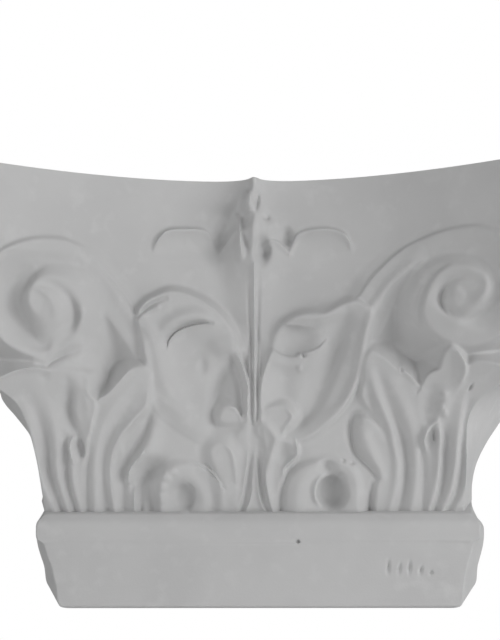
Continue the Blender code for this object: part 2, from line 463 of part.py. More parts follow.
def corner_leaves(face):
    """The leaf of the lower ring that turns each corner: ribs at its foot, lobes curling out at its top."""
    edges = {LEFT: [(84, 40), (84, 70), (82.5, 84), (80, 93), (78, 100), (78.4, 104), (81, 108), (81, 114),
                    (83, 118), (92, 119.5), (100.5, 119.4), (107, 120.5), (114.5, 119), (122, 115.5),
                    (134, 112), (130, 90), (120, 60), (120, 40)],
             RIGHT: [(84, 40), (84, 70), (83.5, 90), (83, 104), (81.5, 109), (83, 114), (86, 117),
                     (90, 119), (91, 122.5), (92.5, 127), (95.5, 129), (98.5, 126.5), (100.8, 123),
                     (102, 120.3), (106, 122), (111.5, 121.8), (118, 120.4), (134, 118), (130, 90),
                     (120, 60), (120, 40)]}
    for side in BOTH:
        face.leaf(side, edges[side], ((95, 60), (100, 120)), 5.6, 8.4, rim=0.3, wall=1.6, soft=1.6)
    ribs = {LEFT: ([(86.5, 46, 2.4, 1.4), (90, 60, 2.4, 1.6), (91, 70, 2.2, 1.5), (90.6, 76, 2.0, 0.8)],
                   [(92.6, 46, 2.8, 1.4), (96.8, 60, 3.0, 1.8), (98.2, 70, 3.2, 2.0), (97.6, 81, 3.4, 1.8),
                    (98.6, 92, 3.6, 1.0), (100, 102, 3.8, 0.4)],
                   [(98.8, 46, 3.0, 1.4), (104.8, 60, 3.2, 1.8), (107, 70, 3.2, 2.2), (108, 80, 3.2, 2.2),
                    (109, 89, 3.2, 1.8), (111, 100, 3.0, 0.8)]),
            RIGHT: ([(85.5, 46, 2.2, 1.2), (89.2, 58, 2.4, 1.6), (91, 70, 2.4, 1.8), (91.2, 82, 2.2, 1.6),
                     (90.4, 91, 2.2, 1.0)],
                    [(92, 46, 2.6, 1.2), (97, 58, 2.8, 1.6), (99, 70, 3.0, 1.8), (99.8, 82, 3.2, 1.8),
                     (100.6, 93, 3.4, 1.2), (102.5, 104, 3.4, 0.6)],
                    [(98, 46, 2.0, 0.8), (103.5, 58, 2.2, 1.2), (105.5, 70, 2.2, 1.4), (105.5, 82, 2.2, 1.2),
                     (106.5, 94, 2.4, 0.8)])}
    grooves = {LEFT: ([(89.6, 46, 1.6, -1.0), (93.4, 60, 1.8, -1.6), (94.6, 70, 1.9, -1.8),
                       (94, 80, 2.0, -1.6), (94.4, 88, 2.4, -0.8)], [(96, 46, 1.8, -1.2),
                                                                     (101, 60, 2.4, -1.8),
                                                                     (103.8, 70, 2.8, -2.2),
                                                                     (104.4, 80, 3.0, -2.2),
                                                                     (105.4, 90, 3.4, -1.8),
                                                                     (108.5, 102, 3.6, -1.0),
                                                                     (112, 110, 3.6, -0.2)]),
               RIGHT: ([(88.6, 46, 1.6, -1.0), (92.8, 58, 1.8, -1.6), (94.6, 70, 2.0, -2.0),
                        (94.6, 80, 2.0, -1.8), (94.6, 89, 2.2, -1.0)], [(95.5, 46, 1.6, -1.0),
                                                                        (101, 58, 1.8, -1.4),
                                                                        (103, 70, 1.9, -1.8),
                                                                        (103, 80, 2.0, -1.8),
                                                                        (103.4, 91, 2.2, -1.4),
                                                                        (104.5, 102, 2.4, -0.8)])}
    for side in BOTH:
        for crest in ribs[side]:
            face.rib(side, crest, sharp=-side, crisp=1.5)
        for groove in grooves[side]:
            face.rib(side, groove)
        face.rib(side, [(83.8, 46, 1.4, -1.0), (84.2, 58, 1.5, -1.3), (84, 70, 1.5, -1.4),
                        (82.6, 80, 1.5, -0.8)])
    # the left one's inner lobe, and the hollow behind it
    face.rib(LEFT, [(83, 84, 2.0, 0.6), (82, 93, 2.4, 1.0), (82, 102, 2.8, 1.2), (84.5, 111, 2.8, 0.8),
                    (88, 117, 2.8, 0.2)])
    face.rib(LEFT, [(87.4, 86, 2.0, -1.6), (90.2, 92, 3.0, -3.4), (92, 98, 4.2, -4.6), (91.6, 105, 4.4, -4.2),
                    (91, 112, 3.2, -1.2)], sharp=IN, crisp=2.2)
    face.rib(LEFT, [(99, 121.8, 1.6, -0.8), (95, 125, 1.8, -1.2), (90, 128.5, 2.0, -0.6)])
    face.spot(LEFT, 104.5, 123.6, 3.2, 1.4, 1.8, turn=-8)
    face.spot(LEFT, 102, 115.6, 2.4, 1.8, -0.8)
    # the right one's two inner lobes one behind the other
    face.rib(RIGHT, [(85.4, 94, 2.6, -1.2), (86.6, 101, 3.4, -2.0), (86.4, 108, 3.4, -1.4)])
    face.rib(RIGHT, [(90, 94, 2.2, 0.8), (92.4, 99, 2.6, 1.4), (93, 105, 2.6, 1.2), (92.6, 110, 2.6, 0.4)])
    face.rib(RIGHT, [(99.4, 110, 3.4, 0.8), (101, 115, 3.6, 1.8), (101, 120, 3.2, 1.8), (98, 126, 2.4, 1.0)],
             sharp=OUT, crisp=1.2)


def drilled_eyes(face):
    """The drilled eye with a curled rim, between the corner leaf and the second leaf."""
    for side, x, z, depth in ((LEFT, 87.4, 80.8, 1.6), (RIGHT, 87.2, 85.5, 0.7)):
        face.spot(side, x, z, 2.4, 5.0, -depth)
        face.rib(side, [(x + 2.6, z - 7, 1.4, 0.5), (x + 4.0, z - 1, 1.5, 1.2), (x + 3.2, z + 4, 1.4, 0.8)])
        face.rib(side, [(x - 2, z - 8, 1.6, 0.4), (x - 3.8, z - 2, 1.8, 1.0), (x - 2.8, z + 5, 1.8, 0.8)])


def hoods(face):
    """The leaf that bends down over each snail curl to a point."""
    face.rib(LEFT, [(66, 50, 2.4, -1.8), (66.6, 62, 2.6, -2.4), (65.6, 70.5, 2.8, -3.2),
                    (60.4, 79, 3.0, -3.6), (56, 86, 2.6, -3.2), (54, 92, 2.0, -1.8), (53, 97, 1.6, -0.6)])
    face.rib(LEFT, [(63.5, 64.5, 2.2, 1.4), (62.4, 69, 3.4, 2.2), (59, 74.5, 4.4, 2.6),
                    (54.5, 80.5, 5.0, 2.6), (51.5, 87, 4.4, 2.2), (49, 92, 3.2, 1.2)])
    face.rib(LEFT, [(61, 61, 2.2, -2.0), (57.6, 67.5, 4.0, -3.4), (53, 71, 4.0, -3.2), (48, 73, 3.0, -1.6),
                    (42, 74, 2.0, -0.4)])
    face.leaf(RIGHT, [(51.5, 94.5), (55, 94.8), (60, 91.8), (64, 87.5), (68, 80), (70, 70), (68, 56),
                      (64, 40), (60, 40), (60.5, 58), (61.5, 66), (58, 71.5), (53.5, 76), (51.2, 82),
                      (50.6, 89)], ((62, 60), (56, 94)), 6.4, 8.0, rim=0.4, wall=1.5, soft=1.4)
    face.rib(RIGHT, [(61.2, 65.5, 1.3, -1.8), (58.6, 69.6, 1.6, -2.2), (54.8, 73.6, 1.9, -2.4),
                     (50.8, 78.4, 2.2, -2.6), (49.2, 84.5, 2.4, -2.8), (49.2, 91, 2.8, -3.2),
                     (50.6, 95.4, 2.4, -2.8), (53.6, 96.8, 1.6, -1.0)])
    face.rib(RIGHT, [(66, 86, 2.2, -1.0), (63.6, 91.5, 2.4, -2.2), (60.5, 97.5, 2.6, -2.4),
                     (57.5, 104, 2.4, -1.6), (55.5, 111, 2.0, -0.8)])
    face.rib(RIGHT, [(62.5, 66, 2.4, 0.8), (58.5, 76, 3.0, 1.2), (54.8, 86, 2.6, 0.8)])


def snail_curls(face):
    """The curl under each hood: a fat ring, falling away outside, round a drilled hole."""
    face.leaf(LEFT, [(46, 40), (47.2, 50), (47.6, 58), (46.6, 65), (43.5, 69), (38, 71.4), (30, 71.8),
                     (24, 69), (20, 65), (16.8, 60.5), (15.6, 50), (15.6, 40)], ((20, 56),
                                                                                 (46, 58)), 6.0, 8.8,
              rim=0.2, wall=0.75, soft=1.6)
    face.leaf(RIGHT, [(50, 40), (51, 52), (51, 62), (48.5, 69), (42, 73), (34, 73.5), (26, 71.5), (20, 67.5),
                      (16.4, 61), (15.4, 50), (15.4, 40)], ((18, 58), (46, 58)), 7.4, 8.2, rim=0.0, wall=0.7,
              soft=2.0)
    face.rib(RIGHT, [(20.5, 46, 4.0, 1.0), (21, 58, 4.0, 1.2), (24.5, 66, 3.6, 1.0), (31, 70, 3.0, 0.4)])
    face.rib(LEFT, [(58.2, 46, 2.2, -1.8), (58.2, 54, 2.4, -2.2), (57.6, 62, 2.6, -2.2), (55, 68, 3.0, -1.6)],
             sharp=OUT, crisp=0.9)
    face.rib(RIGHT, [(57.6, 46, 2.0, -2.2), (58.2, 54, 1.9, -2.4), (59.6, 62, 1.5, -1.4)], sharp=OUT,
             crisp=0.9)
    face.rib(LEFT, [(20.6, 46, 2.8, -1.4), (21, 55, 3.0, -1.6), (24, 62, 3.0, -1.2), (29, 67, 2.6, -0.6)])
    face.rib(RIGHT, [(12.4, 46, 2.6, -1.2), (12.6, 58, 2.4, -1.5), (14.8, 66, 2.0, -1.6),
                     (19, 70.6, 1.8, -1.5), (25, 73.4, 1.7, -1.0), (32, 75, 1.8, -0.5)])
    face.spot(LEFT, 37.4, 55, 9.0, 9.0, -4.2)
    face.spot(RIGHT, 37.6, 58.6, 9.0, 9.6, -3.4)
    face.spot(RIGHT, 36.4, 70.2, 4.0, 3.6, -2.2)


def middle_lobes(face):
    """The small lobes one over the other beside the middle, and the wedge between them at the foot."""
    # the upper lobe on the left, small and set in a pocket, and the broader one on the right
    face.rib(LEFT, [(24, 100, 3.0, -0.6), (21, 96.5, 3.6, -1.4), (19.5, 91, 3.0, -1.0), (14, 90.5, 2.0, -1.0),
                    (8, 91, 1.6, -0.8)])
    face.leaf(LEFT, [(17.2, 93.4), (16.8, 97.4), (15, 100.2), (12.5, 101), (9.4, 99.6), (7.4, 96.6),
                     (6.6, 93.2), (11, 92.6)], ((12, 90), (12, 101)), 5.8, 7.4, rim=0.2, wall=1.1, soft=2.0)
    face.leaf(RIGHT, [(1.2, 92), (3, 96.5), (6, 99.6), (10.5, 101), (15, 100.4), (18.6, 96.4), (17.6, 92.6),
                      (15, 89.4), (13, 86), (8, 84), (2, 86)], ((8, 82), (14, 101)), 6.4, 8.4, rim=0.3,
              wall=1.2, soft=1.4)
    # the lower lobes, long ones that run down to the foot
    face.rib(LEFT, [(16.8, 62, 2.0, -0.6), (19, 67, 3.0, -1.2), (22, 73, 3.8, -1.7), (24, 79, 3.8, -1.6),
                    (24.5, 84, 3.0, -0.6)])
    face.leaf(LEFT, [(21.8, 79), (19, 81.8), (14.5, 81.8), (11.6, 78.6), (10.2, 73), (9.2, 64), (9.6, 52),
                     (11, 40), (17, 40), (17.4, 60), (19, 68), (21.2, 74)], ((13, 47), (15, 82)), 6.4, 8.0,
              wall=0.6, soft=2.4)
    face.leaf(RIGHT, [(4, 92), (8, 90), (11.5, 85.5), (16.5, 83.4), (20.4, 81.4), (21.2, 78.4), (20.4, 75.8),
                      (17, 73), (14.2, 70.4), (13.2, 64), (11, 56), (10.4, 40), (6, 40), (5.6, 56), (5, 66),
                      (5.4, 78)], ((8, 47), (14, 84)), 5.8, 7.6, wall=1.2, rim=0.2)
    face.rib(RIGHT, [(8.8, 46, 2.0, 1.0), (6.8, 57, 2.2, 1.6), (6, 66, 2.2, 1.8), (7.4, 74, 2.2, 1.9),
                     (9.8, 81, 2.2, 1.8), (10.2, 85.4, 2.2, 1.6), (6.4, 91, 2.4, 1.0)])
    face.spot(RIGHT, 14.4, 78.4, 3.8, 4.4, -1.8)
    for side in BOTH:
        face.rib(side, [(8.0, 46, 1.3, -1.0), (5.4, 54, 1.2, -1.2), (3.5, 63, 1.1, -1.2),
                        (2.2, 73, 1.0, -1.0), (1.2, 82, 0.9, -0.4)])


def lower_creases(face):
    """The fine lips, cuts and drill marks of the lower leaves and curls."""
    # the left corner: the curl beside the drilled eye, and the lobe's crisp inner edge
    face.rib(LEFT, [(90.4, 74, 1.2, 0.6), (91.6, 79, 1.4, 1.8), (91.2, 83, 1.3, 1.8), (89.4, 86.8, 1.1, 0.6)],
             sharp=IN, crisp=0.9)
    face.spot(LEFT, 87.0, 80.4, 1.9, 4.4, -1.3, turn=-8, steep=3.0)
    face.rib(LEFT, [(82.6, 84, 1.3, 0.4), (80.6, 92.5, 1.5, 0.8), (79, 98.5, 1.5, 0.9), (79, 104.3, 1.5, 0.9),
                    (81.3, 108.5, 1.6, 0.9), (81.5, 114, 1.6, 0.6)], sharp=IN, crisp=0.5)
    face.rib(LEFT, [(122, 115.4, 1.4, 0.6), (114.5, 118.4, 1.6, 0.9), (107, 120, 1.6, 0.9),
                    (100.5, 119.2, 1.4, 0.3)], sharp=OUT, crisp=0.6)
    face.rib(LEFT, [(100.6, 120.8, 0.9, -0.8), (98.5, 123.3, 1.0, -1.2), (93, 126.8, 1.0, -0.4)])
    face.rib(LEFT, [(77, 104.6, 1.2, 0.6), (72, 108, 1.5, 0.9), (66.5, 113.8, 1.5, 0.9),
                    (62, 118.4, 1.4, 0.6)], sharp=OUT, crisp=0.6)
    # the right corner
    face.rib(RIGHT, [(84.4, 80, 1.3, 0.6), (83.4, 83.4, 1.5, 1.8), (84.6, 87.4, 1.5, 1.9),
                     (87, 91.2, 1.4, 1.5), (89.6, 94, 1.2, 0.6)], sharp=OUT, crisp=1.0)
    face.spot(RIGHT, 88.9, 86, 0.7, 3.4, -1.5, turn=4)
    face.rib(RIGHT, [(100.6, 113, 1.6, 0.4), (101.6, 117, 1.6, 0.8), (101, 121.6, 1.4, 1.0),
                     (98.5, 126, 1.2, 0.6)], sharp=OUT, crisp=0.5)
    face.rib(RIGHT, [(80.8, 108.6, 2.2, -0.6), (82.6, 114, 3.0, -1.6), (85.6, 117.6, 3.0, -1.8),
                     (89.2, 119.4, 3.0, -1.8), (90.2, 123, 3.0, -1.8), (91.6, 127, 2.6, -1.4),
                     (94, 129.6, 2.0, -0.4)], sharp=OUT, crisp=0.6)
    face.spot(RIGHT, 104.9, 109.8, 0.7, 1.8, -1.2, turn=-24)
    face.spot(RIGHT, 72.2, 118.6, 0.8, 1.1, -1.0)
    face.spot(RIGHT, 92.2, 105.5, 2.0, 2.2, 0.9)
    face.spot(RIGHT, 90.8, 100.4, 1.7, 1.8, 0.9)
    face.spot(RIGHT, 93.4, 97, 1.6, 1.8, 0.7)
    face.rib(RIGHT, [(82, 109.6, 1.3, 0.5), (78.6, 113.2, 1.4, 0.8), (74.6, 117, 1.3, 0.5)], sharp=OUT,
             crisp=0.6)
    # the hoods' points, the rings' edges and the thin ribs at the foot
    face.rib(LEFT, [(63.6, 63.5, 0.9, 0.4), (62.6, 69, 1.1, 1.7), (59.6, 73.4, 1.2, 1.7),
                    (55.8, 78, 1.2, 0.8)], sharp=IN, crisp=0.5)
    face.rib(LEFT, [(60.2, 46, 0.9, 0.9), (60.6, 55, 1.0, 1.1), (60.6, 62.5, 0.7, 0.3)])
    face.rib(LEFT, [(16.4, 60.6, 1.6, -0.5), (19.8, 64.8, 2.4, -0.9), (23.6, 68.8, 2.6, -1.0),
                    (28, 71.6, 2.2, -0.7), (32, 72.4, 1.6, -0.2)], sharp=OUT, crisp=0.5)
    face.rib(LEFT, [(33.2, 49, 1.6, -0.6), (31, 54, 1.8, -1.2), (31, 59, 1.8, -1.0), (33, 62, 1.4, -0.4)],
             sharp=IN, crisp=0.5)
    for x, z, size, height in ((44.2, 65.8, 2.4, 1.0), (46, 61, 2.2, 0.7), (40.8, 68.4, 2.0, 0.7),
                               (45.6, 55, 2.6, 0.6)):
        face.spot(LEFT, x, z, size, size, height)
    face.spot(LEFT, 36, 55, 5.0, 6.4, -2.0, turn=-12, steep=2.5)
    face.spot(RIGHT, 38.6, 57.8, 7.0, 8.0, -5.0, steep=3.5)
    face.spot(RIGHT, 40.8, 65.2, 3.6, 3.2, -1.3, steep=1.8)
    face.spot(RIGHT, 36, 71.2, 3.0, 2.8, -1.0, steep=1.4)
    face.spot(RIGHT, 43, 66, 1.4, 1.4, -0.6)
    face.spot(RIGHT, 44, 73.6, 1.0, 0.9, -1.1)
    face.spot(RIGHT, 48.5, 72.6, 1.5, 1.0, -1.0)
    # the middle lobes' lips
    face.rib(LEFT, [(6.6, 93.6, 1.2, 0.2), (7.6, 97, 1.3, 0.8), (9.6, 99.8, 1.3, 0.8), (12.6, 101, 1.2, 0.4)],
             sharp=IN, crisp=0.5)
    face.rib(LEFT, [(9.2, 64, 1.3, 0.5), (10.2, 73, 1.4, 0.7), (11.8, 78.4, 1.4, 0.7),
                    (14.4, 81.4, 1.2, 0.3)], sharp=IN, crisp=0.5)
    face.rib(RIGHT, [(14, 87, 1.2, 0.4), (15.4, 90, 1.4, 0.8), (18, 93.4, 1.4, 0.9), (18.6, 96.4, 1.3, 0.8),
                     (16, 99.6, 1.1, 0.3)], sharp=OUT, crisp=0.5)
    face.rib(RIGHT, [(13.8, 66, 0.9, 0.4), (15, 70.6, 1.1, 1.3), (18, 73.6, 1.2, 1.6), (20.8, 76.4, 1.2, 1.6),
                     (21.2, 79.8, 1.2, 1.5), (20.4, 84, 1.0, 0.5)], sharp=OUT, crisp=0.5)
    face.rib(RIGHT, [(13.9, 62.5, 0.9, 0.3), (15.2, 67.4, 1.0, 0.9), (18, 71, 1.0, 0.9),
                     (21.6, 73.6, 0.9, 0.2)], sharp=OUT, crisp=0.5)
    for side in BOTH:
        face.rib(side, [(9, 47, 1.4, 0.5), (6.6, 55.5, 1.4, 0.8), (5, 65, 1.3, 0.8), (4, 72, 1.2, 0.6),
                        (3.4, 78, 1.1, 0.2)], sharp=IN, crisp=0.45)
        face.rib(side, [(5.6, 47.5, 1.6, 0.5), (3.4, 52, 1.4, 0.8), (1.7, 58.5, 1.2, 0.9),
                        (1.2, 67, 1.0, 0.7), (0.6, 77, 0.8, 0.2)], sharp=OUT, crisp=0.45)


def stalk_and_bud(face):
    """The thin stalk up the middle, and the worn bud where it meets the rib of the top field."""
    face.roll(RIGHT, [(0, 138, 1.6, 1.6), (0, 128, 2.2, 5.0), (0, 118, 2.4, 7.0), (0, 105, 2.4, 7.6),
                      (0, 96, 2.4, 6.8), (0, 86, 2.2, 4.0)], crown=0.2, wall=1.2, soft=1.6)
    for side in BOTH:
        face.rib(side, [(1.5, 92, 0.8, -0.5), (1.4, 105, 0.8, -0.9), (1.5, 125, 0.9, -1.0),
                        (1.8, 142, 1.0, -1.0), (2.2, 158, 1.2, -0.7), (2.4, 170, 1.4, -0.2)])
    face.rib(RIGHT, [(0, 94, 0.7, 0.6), (0, 125, 0.7, 0.9), (0, 150, 0.8, 1.0), (0.2, 172, 0.9, 0.8)])
    for x, z, half_wide, half_high, height in ((-3, 203, 3.2, 5.0, 3.0), (-4.5, 190, 2.8, 5.5, 2.2),
                                               (-7, 180, 2.8, 5.5, 2.6), (3.5, 196, 3.4, 6.5, 2.0),
                                               (6, 187, 3.4, 5.5, 2.0), (0, 186, 2.8, 6.5, 2.4)):
        face.spot(RIGHT, x, z, half_wide, half_high, height)
    face.spot(RIGHT, 4, 177, 3.8, 6.0, -2.4)
    face.spot(LEFT, 16.5, 187, 3.5, 6.5, -1.2)


def deep_floors(face):
    """The deepest places: the left scroll's floor, the shadows round the bands, and inside the calyx."""
    face.rib(LEFT, [(108, 137, 3.4, -0.6), (114, 141, 4.4, -2.6), (118.4, 149, 4.8, -4.2),
                    (117.2, 158, 4.8, -4.2), (111.5, 165, 4.2, -2.6), (105, 168.5, 3.4, -0.6)], sharp=OUT,
             crisp=2.6)
    face.rib(LEFT, [(84, 132, 2.0, -0.3), (89, 128.5, 2.4, -1.2), (96, 126, 2.4, -1.2),
                    (104, 125, 2.0, -0.3)])
    face.rib(RIGHT, [(80.6, 140, 1.6, -0.3), (80.2, 148, 2.2, -2.0), (82.4, 157, 2.4, -2.6),
                     (87, 164.5, 2.2, -1.8), (93, 168.5, 1.6, -0.2)], sharp=OUT, crisp=1.2)
    face.rib(RIGHT, [(93, 144.6, 1.0, -0.3), (91.4, 148.3, 1.5, -1.3), (90.6, 151.9, 1.5, -1.8),
                     (91.4, 155.6, 1.5, -1.5), (94, 159.2, 1.0, -0.4)], sharp=OUT, crisp=0.8)
    face.rib(LEFT, [(6.6, 98, 2.4, -1.4), (6.4, 106, 2.8, -3.0), (7.2, 113, 3.0, -3.2), (9.8, 120, 2.8, -2.2),
                    (12.5, 126, 2.2, -0.4)], sharp=IN, crisp=1.0)
    face.rib(LEFT, [(50, 47, 4.0, -2.0), (53, 56, 4.2, -2.8), (53, 64, 4.0, -2.6), (49, 71, 3.2, -1.0)])


def crisp_rims(face):
    """The edges that still stand crisp beside the stalk and round the curls."""
    face.rib(LEFT, [(3.9, 95, 0.8, 0.3), (3.3, 104, 0.9, 1.2), (3.3, 112, 0.9, 1.3), (5.6, 120, 0.9, 1.3),
                    (8.4, 128, 0.8, 0.5)], sharp=IN, crisp=0.45)
    face.rib(LEFT, [(17, 61.5, 0.8, 0.4), (21.2, 67.8, 1.2, 1.8), (26.2, 71.8, 1.2, 1.4),
                    (30, 73.4, 0.8, 0.2)], sharp=IN, crisp=0.5)
    face.rib(RIGHT, [(33.2, 50.5, 1.2, 0.4), (30.2, 55.5, 1.6, 1.9), (30.4, 61.6, 1.6, 2.1),
                     (33.4, 66.4, 1.2, 0.8)], sharp=OUT, crisp=1.6)


def bud(face):
    """The worn bud on the middle rib: beads one over the other, with drilled hollows round them."""
    face.rib(LEFT, [(5.5, 208, 3.0, -0.8), (8.6, 200, 4.2, -2.2), (12.2, 192.5, 4.8, -3.0),
                    (15.4, 186, 4.4, -2.4), (16.8, 179, 3.2, -0.8)])
    for side, x, z, half_wide, half_high, height in (
            (LEFT, 2.6, 203.6, 2.0, 5.0, 3.2), (LEFT, 4.3, 194.0, 1.8, 4.5, -2.6), (RIGHT, 6.0, 196, 1.8, 1.8, -1.8),
            (RIGHT, 9.2, 191, 2.6, 3.8, 1.4), (RIGHT, 4.3, 180.3, 3.6, 5.4, -3.6), (RIGHT, 16.4, 186.4, 3.0, 4.4, -2.8)):
        face.spot(side, x, z, half_wide, half_high, height)
    face.rib(LEFT, [(6.2, 175, 1.6, 0.6), (6.6, 181, 2.0, 3.0), (7.6, 190, 2.4, 2.8), (8.4, 197, 2.0, 1.0)],
             sharp=IN, crisp=1.4)
    face.rib(RIGHT, [(1.2, 198, 0.9, -0.6), (1.5, 203, 1.2, -2.0), (2.4, 207.4, 0.9, -1.4),
                     (4.0, 208, 0.8, -0.3)])
    face.rib(RIGHT, [(0.4, 206, 1.8, 0.6), (0.6, 210, 2.4, 1.8), (0.6, 217, 2.6, 2.4)])


def rubbed_joints(face):
    """The joints that the carver rubbed smooth, such as where the stem runs into the scroll."""
    for x, z, reach, size in RUBBED:
        before = face.front.copy()
        face.rub(size)
        share = sum(np.exp(-(((face.x * side - x)**2 + (face.z - z)**2) / reach**2)**2) for side in BOTH)
        face.front = before + share * (face.front - before)


def mass(face):
    """The blocks that the leaves are cut from, without their edges."""
    for side in BOTH:
        face.leaf(side, [(-6, 40), (60, 40), (120, 40), (118, 92), (100, 104), (88, 96), (78, 98), (64, 106),
                         (52, 108), (40, 100), (20, 92), (-6, 92)], ((0, 40), (0, 90)), 5.6, 5.6,
                  wall=0.7, soft=3.0)
        face.leaf(side, [(-3, 84), (24, 82), (40, 90), (50, 102), (54, 120), (56, 146), (44, 150), (24, 146),
                         (8, 132), (-3, 108)], ((0, 84), (0, 150)), 4.4, 3.2, wall=0.6, soft=3.0)


def carved(x, z, bell):
    """The distance from the wall of each point of the carved face, in sheet millimetres."""
    face = Face(x, z, bell)
    for form in (mass, hollows, fans, stems, scrolls, calyxes, second_leaves, corner_leaves, drilled_eyes,
                 snail_curls, hoods, middle_lobes):
        form(face)
    face.rub(WORN)
    for form in (fan_rims, band_lines, calyx_creases, lower_creases, stalk_and_bud, deep_floors, rubbed_joints,
                 crisp_rims, bud):
        form(face)
    return face.front


def above_moulding(z):
    """A height of the part as a height on the sheet."""
    share = (z - MOULDING_HEIGHT) / (HEIGHT - MOULDING_HEIGHT)
    return SHEET_FOOT + share * (SHEET_HEIGHT - SHEET_FOOT)


def half_width(z, outline):
    """Half the width of the carved part at each height, in metres, along one of the outlines."""
    share = (sheet_half(above_moulding(z), outline) - SHEET_NECK_HALF) / (SHEET_TOP_HALF - SHEET_NECK_HALF)
    return 0.5 * (NECK_WIDTH + share * (TOP_WIDTH - NECK_WIDTH))


def wall_width(z, outline):
    """Half the width at the wall at each height of the carved part, in metres."""
    return half_width(z, outline) + np.interp(z, (MOULDING_HEIGHT, HEIGHT), (NECK_SPREAD, TOP_SPREAD))


def bell_front(across, z):
    """The plain bell behind the carving, hollow across and leaning out, with its arris up the middle."""
    high = above_moulding(z)
    up = np.clip((high - SHEET_FOOT) / (BELL_LEANS_TO - SHEET_FOOT), 0, 1)
    off = np.abs(across) * SHEET_TOP_HALF
    middle = NECK_REACH + (MIDDLE_REACH - NECK_REACH) * up**1.5
    corner = (HORN_REACH - MIDDLE_REACH) * up**1.3 * across**2
    rib = RIB_REACH * np.exp(-off / ARRIS_HALF) * ease(*ARRIS_HEIGHTS, high)
    lip = LIP_REACH * ease(*LIP_HEIGHTS, high - LIP_RISE * off)
    return middle + corner + rib + lip


def carved_face(across, z):
    """Where the points of the carved face are, across and out from the wall, at each height in metres."""
    high, wide = np.meshgrid(above_moulding(z), across, indexing="ij")
    sheet_x = both_halves(wide, *(sheet_half(high[:, :1], ARRIS_OUTLINE[side]) for side in BOTH))
    x = both_halves(wide, *(half_width(z, ARRIS_OUTLINE[side])[:, None] for side in BOTH))
    scale = CARVING_DEPTH / SHEET_DEPTH
    bell = bell_front(2 * x / TOP_WIDTH, z[:, None])
    return x, scale * carved(sheet_x, high, bell / scale)


# The moulding's outline from its underside up: share of its height, how far in from the bead's front,
# how far in from the bead's end, and how much more its sides spread there, in metres
MOULDING_ROWS = ((0.000, MOULDING_FOOT_IN, 0.0130, 0.0060), (0.026, 0.0054, 0.0104, 0.0044),
                 (0.088, 0.0049, 0.0091, 0.0040), (0.229, 0.0044, 0.0085, 0.0042),
                 (0.352, 0.0035, 0.0075, 0.0050), (0.462, 0.0026, 0.0066, 0.0056),
                 (0.571, 0.0017, 0.0049, 0.0048), (0.668, 0.0010, 0.0037, 0.0038),
                 (0.708, 0.0007, 0.0028, 0.0025), (0.747, 0.0003, 0.0003, -0.0010),
                 (0.835, 0.0, 0.0, -0.0046), (0.923, 0.0005, 0.0005, -0.0056),
                 (1.000, 0.0036, 0.0036, -0.0024))


def moulding_off(share):
    """How far right of the middle the moulding lies at each share of its height."""
    return MOULDING_OFF + MOULDING_LEAN * (1 - share)


def solid_rows():
    """The levels of the part from the underside up: height, half widths at the wall, the face's points."""
    columns = int(round(TOP_WIDTH / ROW_STEP)) | 1
    across = np.linspace(-1, 1, columns)
    rows = []
    for share, front_in, end_in, spread_more in MOULDING_ROWS:
        half = 0.5 * MOULDING_WIDTH - end_in
        wall_half = half + MOULDING_SPREAD + spread_more
        front = np.full(columns, MOULDING_REACH - front_in)
        off = moulding_off(share)
        rows.append((share * MOULDING_HEIGHT, wall_half - off, wall_half + off, off + across * half, front))
    levels = int(round((HEIGHT - MOULDING_HEIGHT) / ROW_STEP))
    z = np.linspace(MOULDING_HEIGHT + LEVEL_GAP, HEIGHT, levels)
    x, front = carved_face(across, z)
    left, right = (wall_width(z, WALL_OUTLINE[side]) for side in BOTH)
    for k in range(levels):
        rows.append((z[k], left[k], right[k], x[k], front[k]))
    return rows


def corbel_mesh():
    """One closed skin: a ring of points at every level, joined upwards and capped at both ends."""
    mesh = bmesh.new()
    rings = []
    for z, left, right, x, front in solid_rows():
        height = z - 0.5 * HEIGHT
        ring = [mesh.verts.new((a, -b, height)) for a, b in zip(x, front)]
        ring.append(mesh.verts.new((right, 0.0, height)))
        ring.append(mesh.verts.new((-left, 0.0, height)))
        rings.append(ring)
    count = len(rings[0])
    for lower, upper in zip(rings, rings[1:]):
        for k in range(count):
            n = (k + 1) % count
            mesh.faces.new((lower[k], lower[n], upper[n], upper[k]))
    mesh.faces.new(list(reversed(rings[0])))
    mesh.faces.new(rings[-1])
    bmesh.ops.recalc_face_normals(mesh, faces=mesh.faces)
    data = bpy.data.meshes.new("corbel")
    mesh.to_mesh(data)
    mesh.free()
    return data


def thinned(data):
    """The same solid with fewer faces, its back, top and underside kept truly flat."""
    work = bpy.data.objects.new("corbel_full", data)
    bpy.context.collection.objects.link(work)
    even = work.modifiers.new("triangles", 'TRIANGULATE')
    even.min_vertices = 4
    data.calc_loop_triangles()
    thin = work.modifiers.new("thin", 'DECIMATE')
    thin.ratio = FACE_TRIANGLES / len(data.loop_triangles)
    thin.use_collapse_triangulate = True
    finished = bpy.data.meshes.new_from_object(work.evaluated_get(bpy.context.evaluated_depsgraph_get()))
    bpy.data.objects.remove(work)
    bpy.data.meshes.remove(data)
    for vertex in finished.vertices:
        if abs(vertex.co.y) < FLAT_WITHIN:
            vertex.co.y = 0.0
        for end in (-0.5 * HEIGHT, 0.5 * HEIGHT):
            if abs(vertex.co.z - end) < FLAT_WITHIN:
                vertex.co.z = end
    finished.name = "corbel"
    return finished


def plaster():
    """Matt cast plaster, a neutral pale grey."""
    material = bpy.data.materials.new("cast_plaster")
    material.use_nodes = True
    shader = material.node_tree.nodes["Principled BSDF"]
    shader.inputs["Base Color"].default_value = PLASTER
    shader.inputs["Roughness"].default_value = 0.85
    shader.inputs["Metallic"].default_value = 0.0
    return material


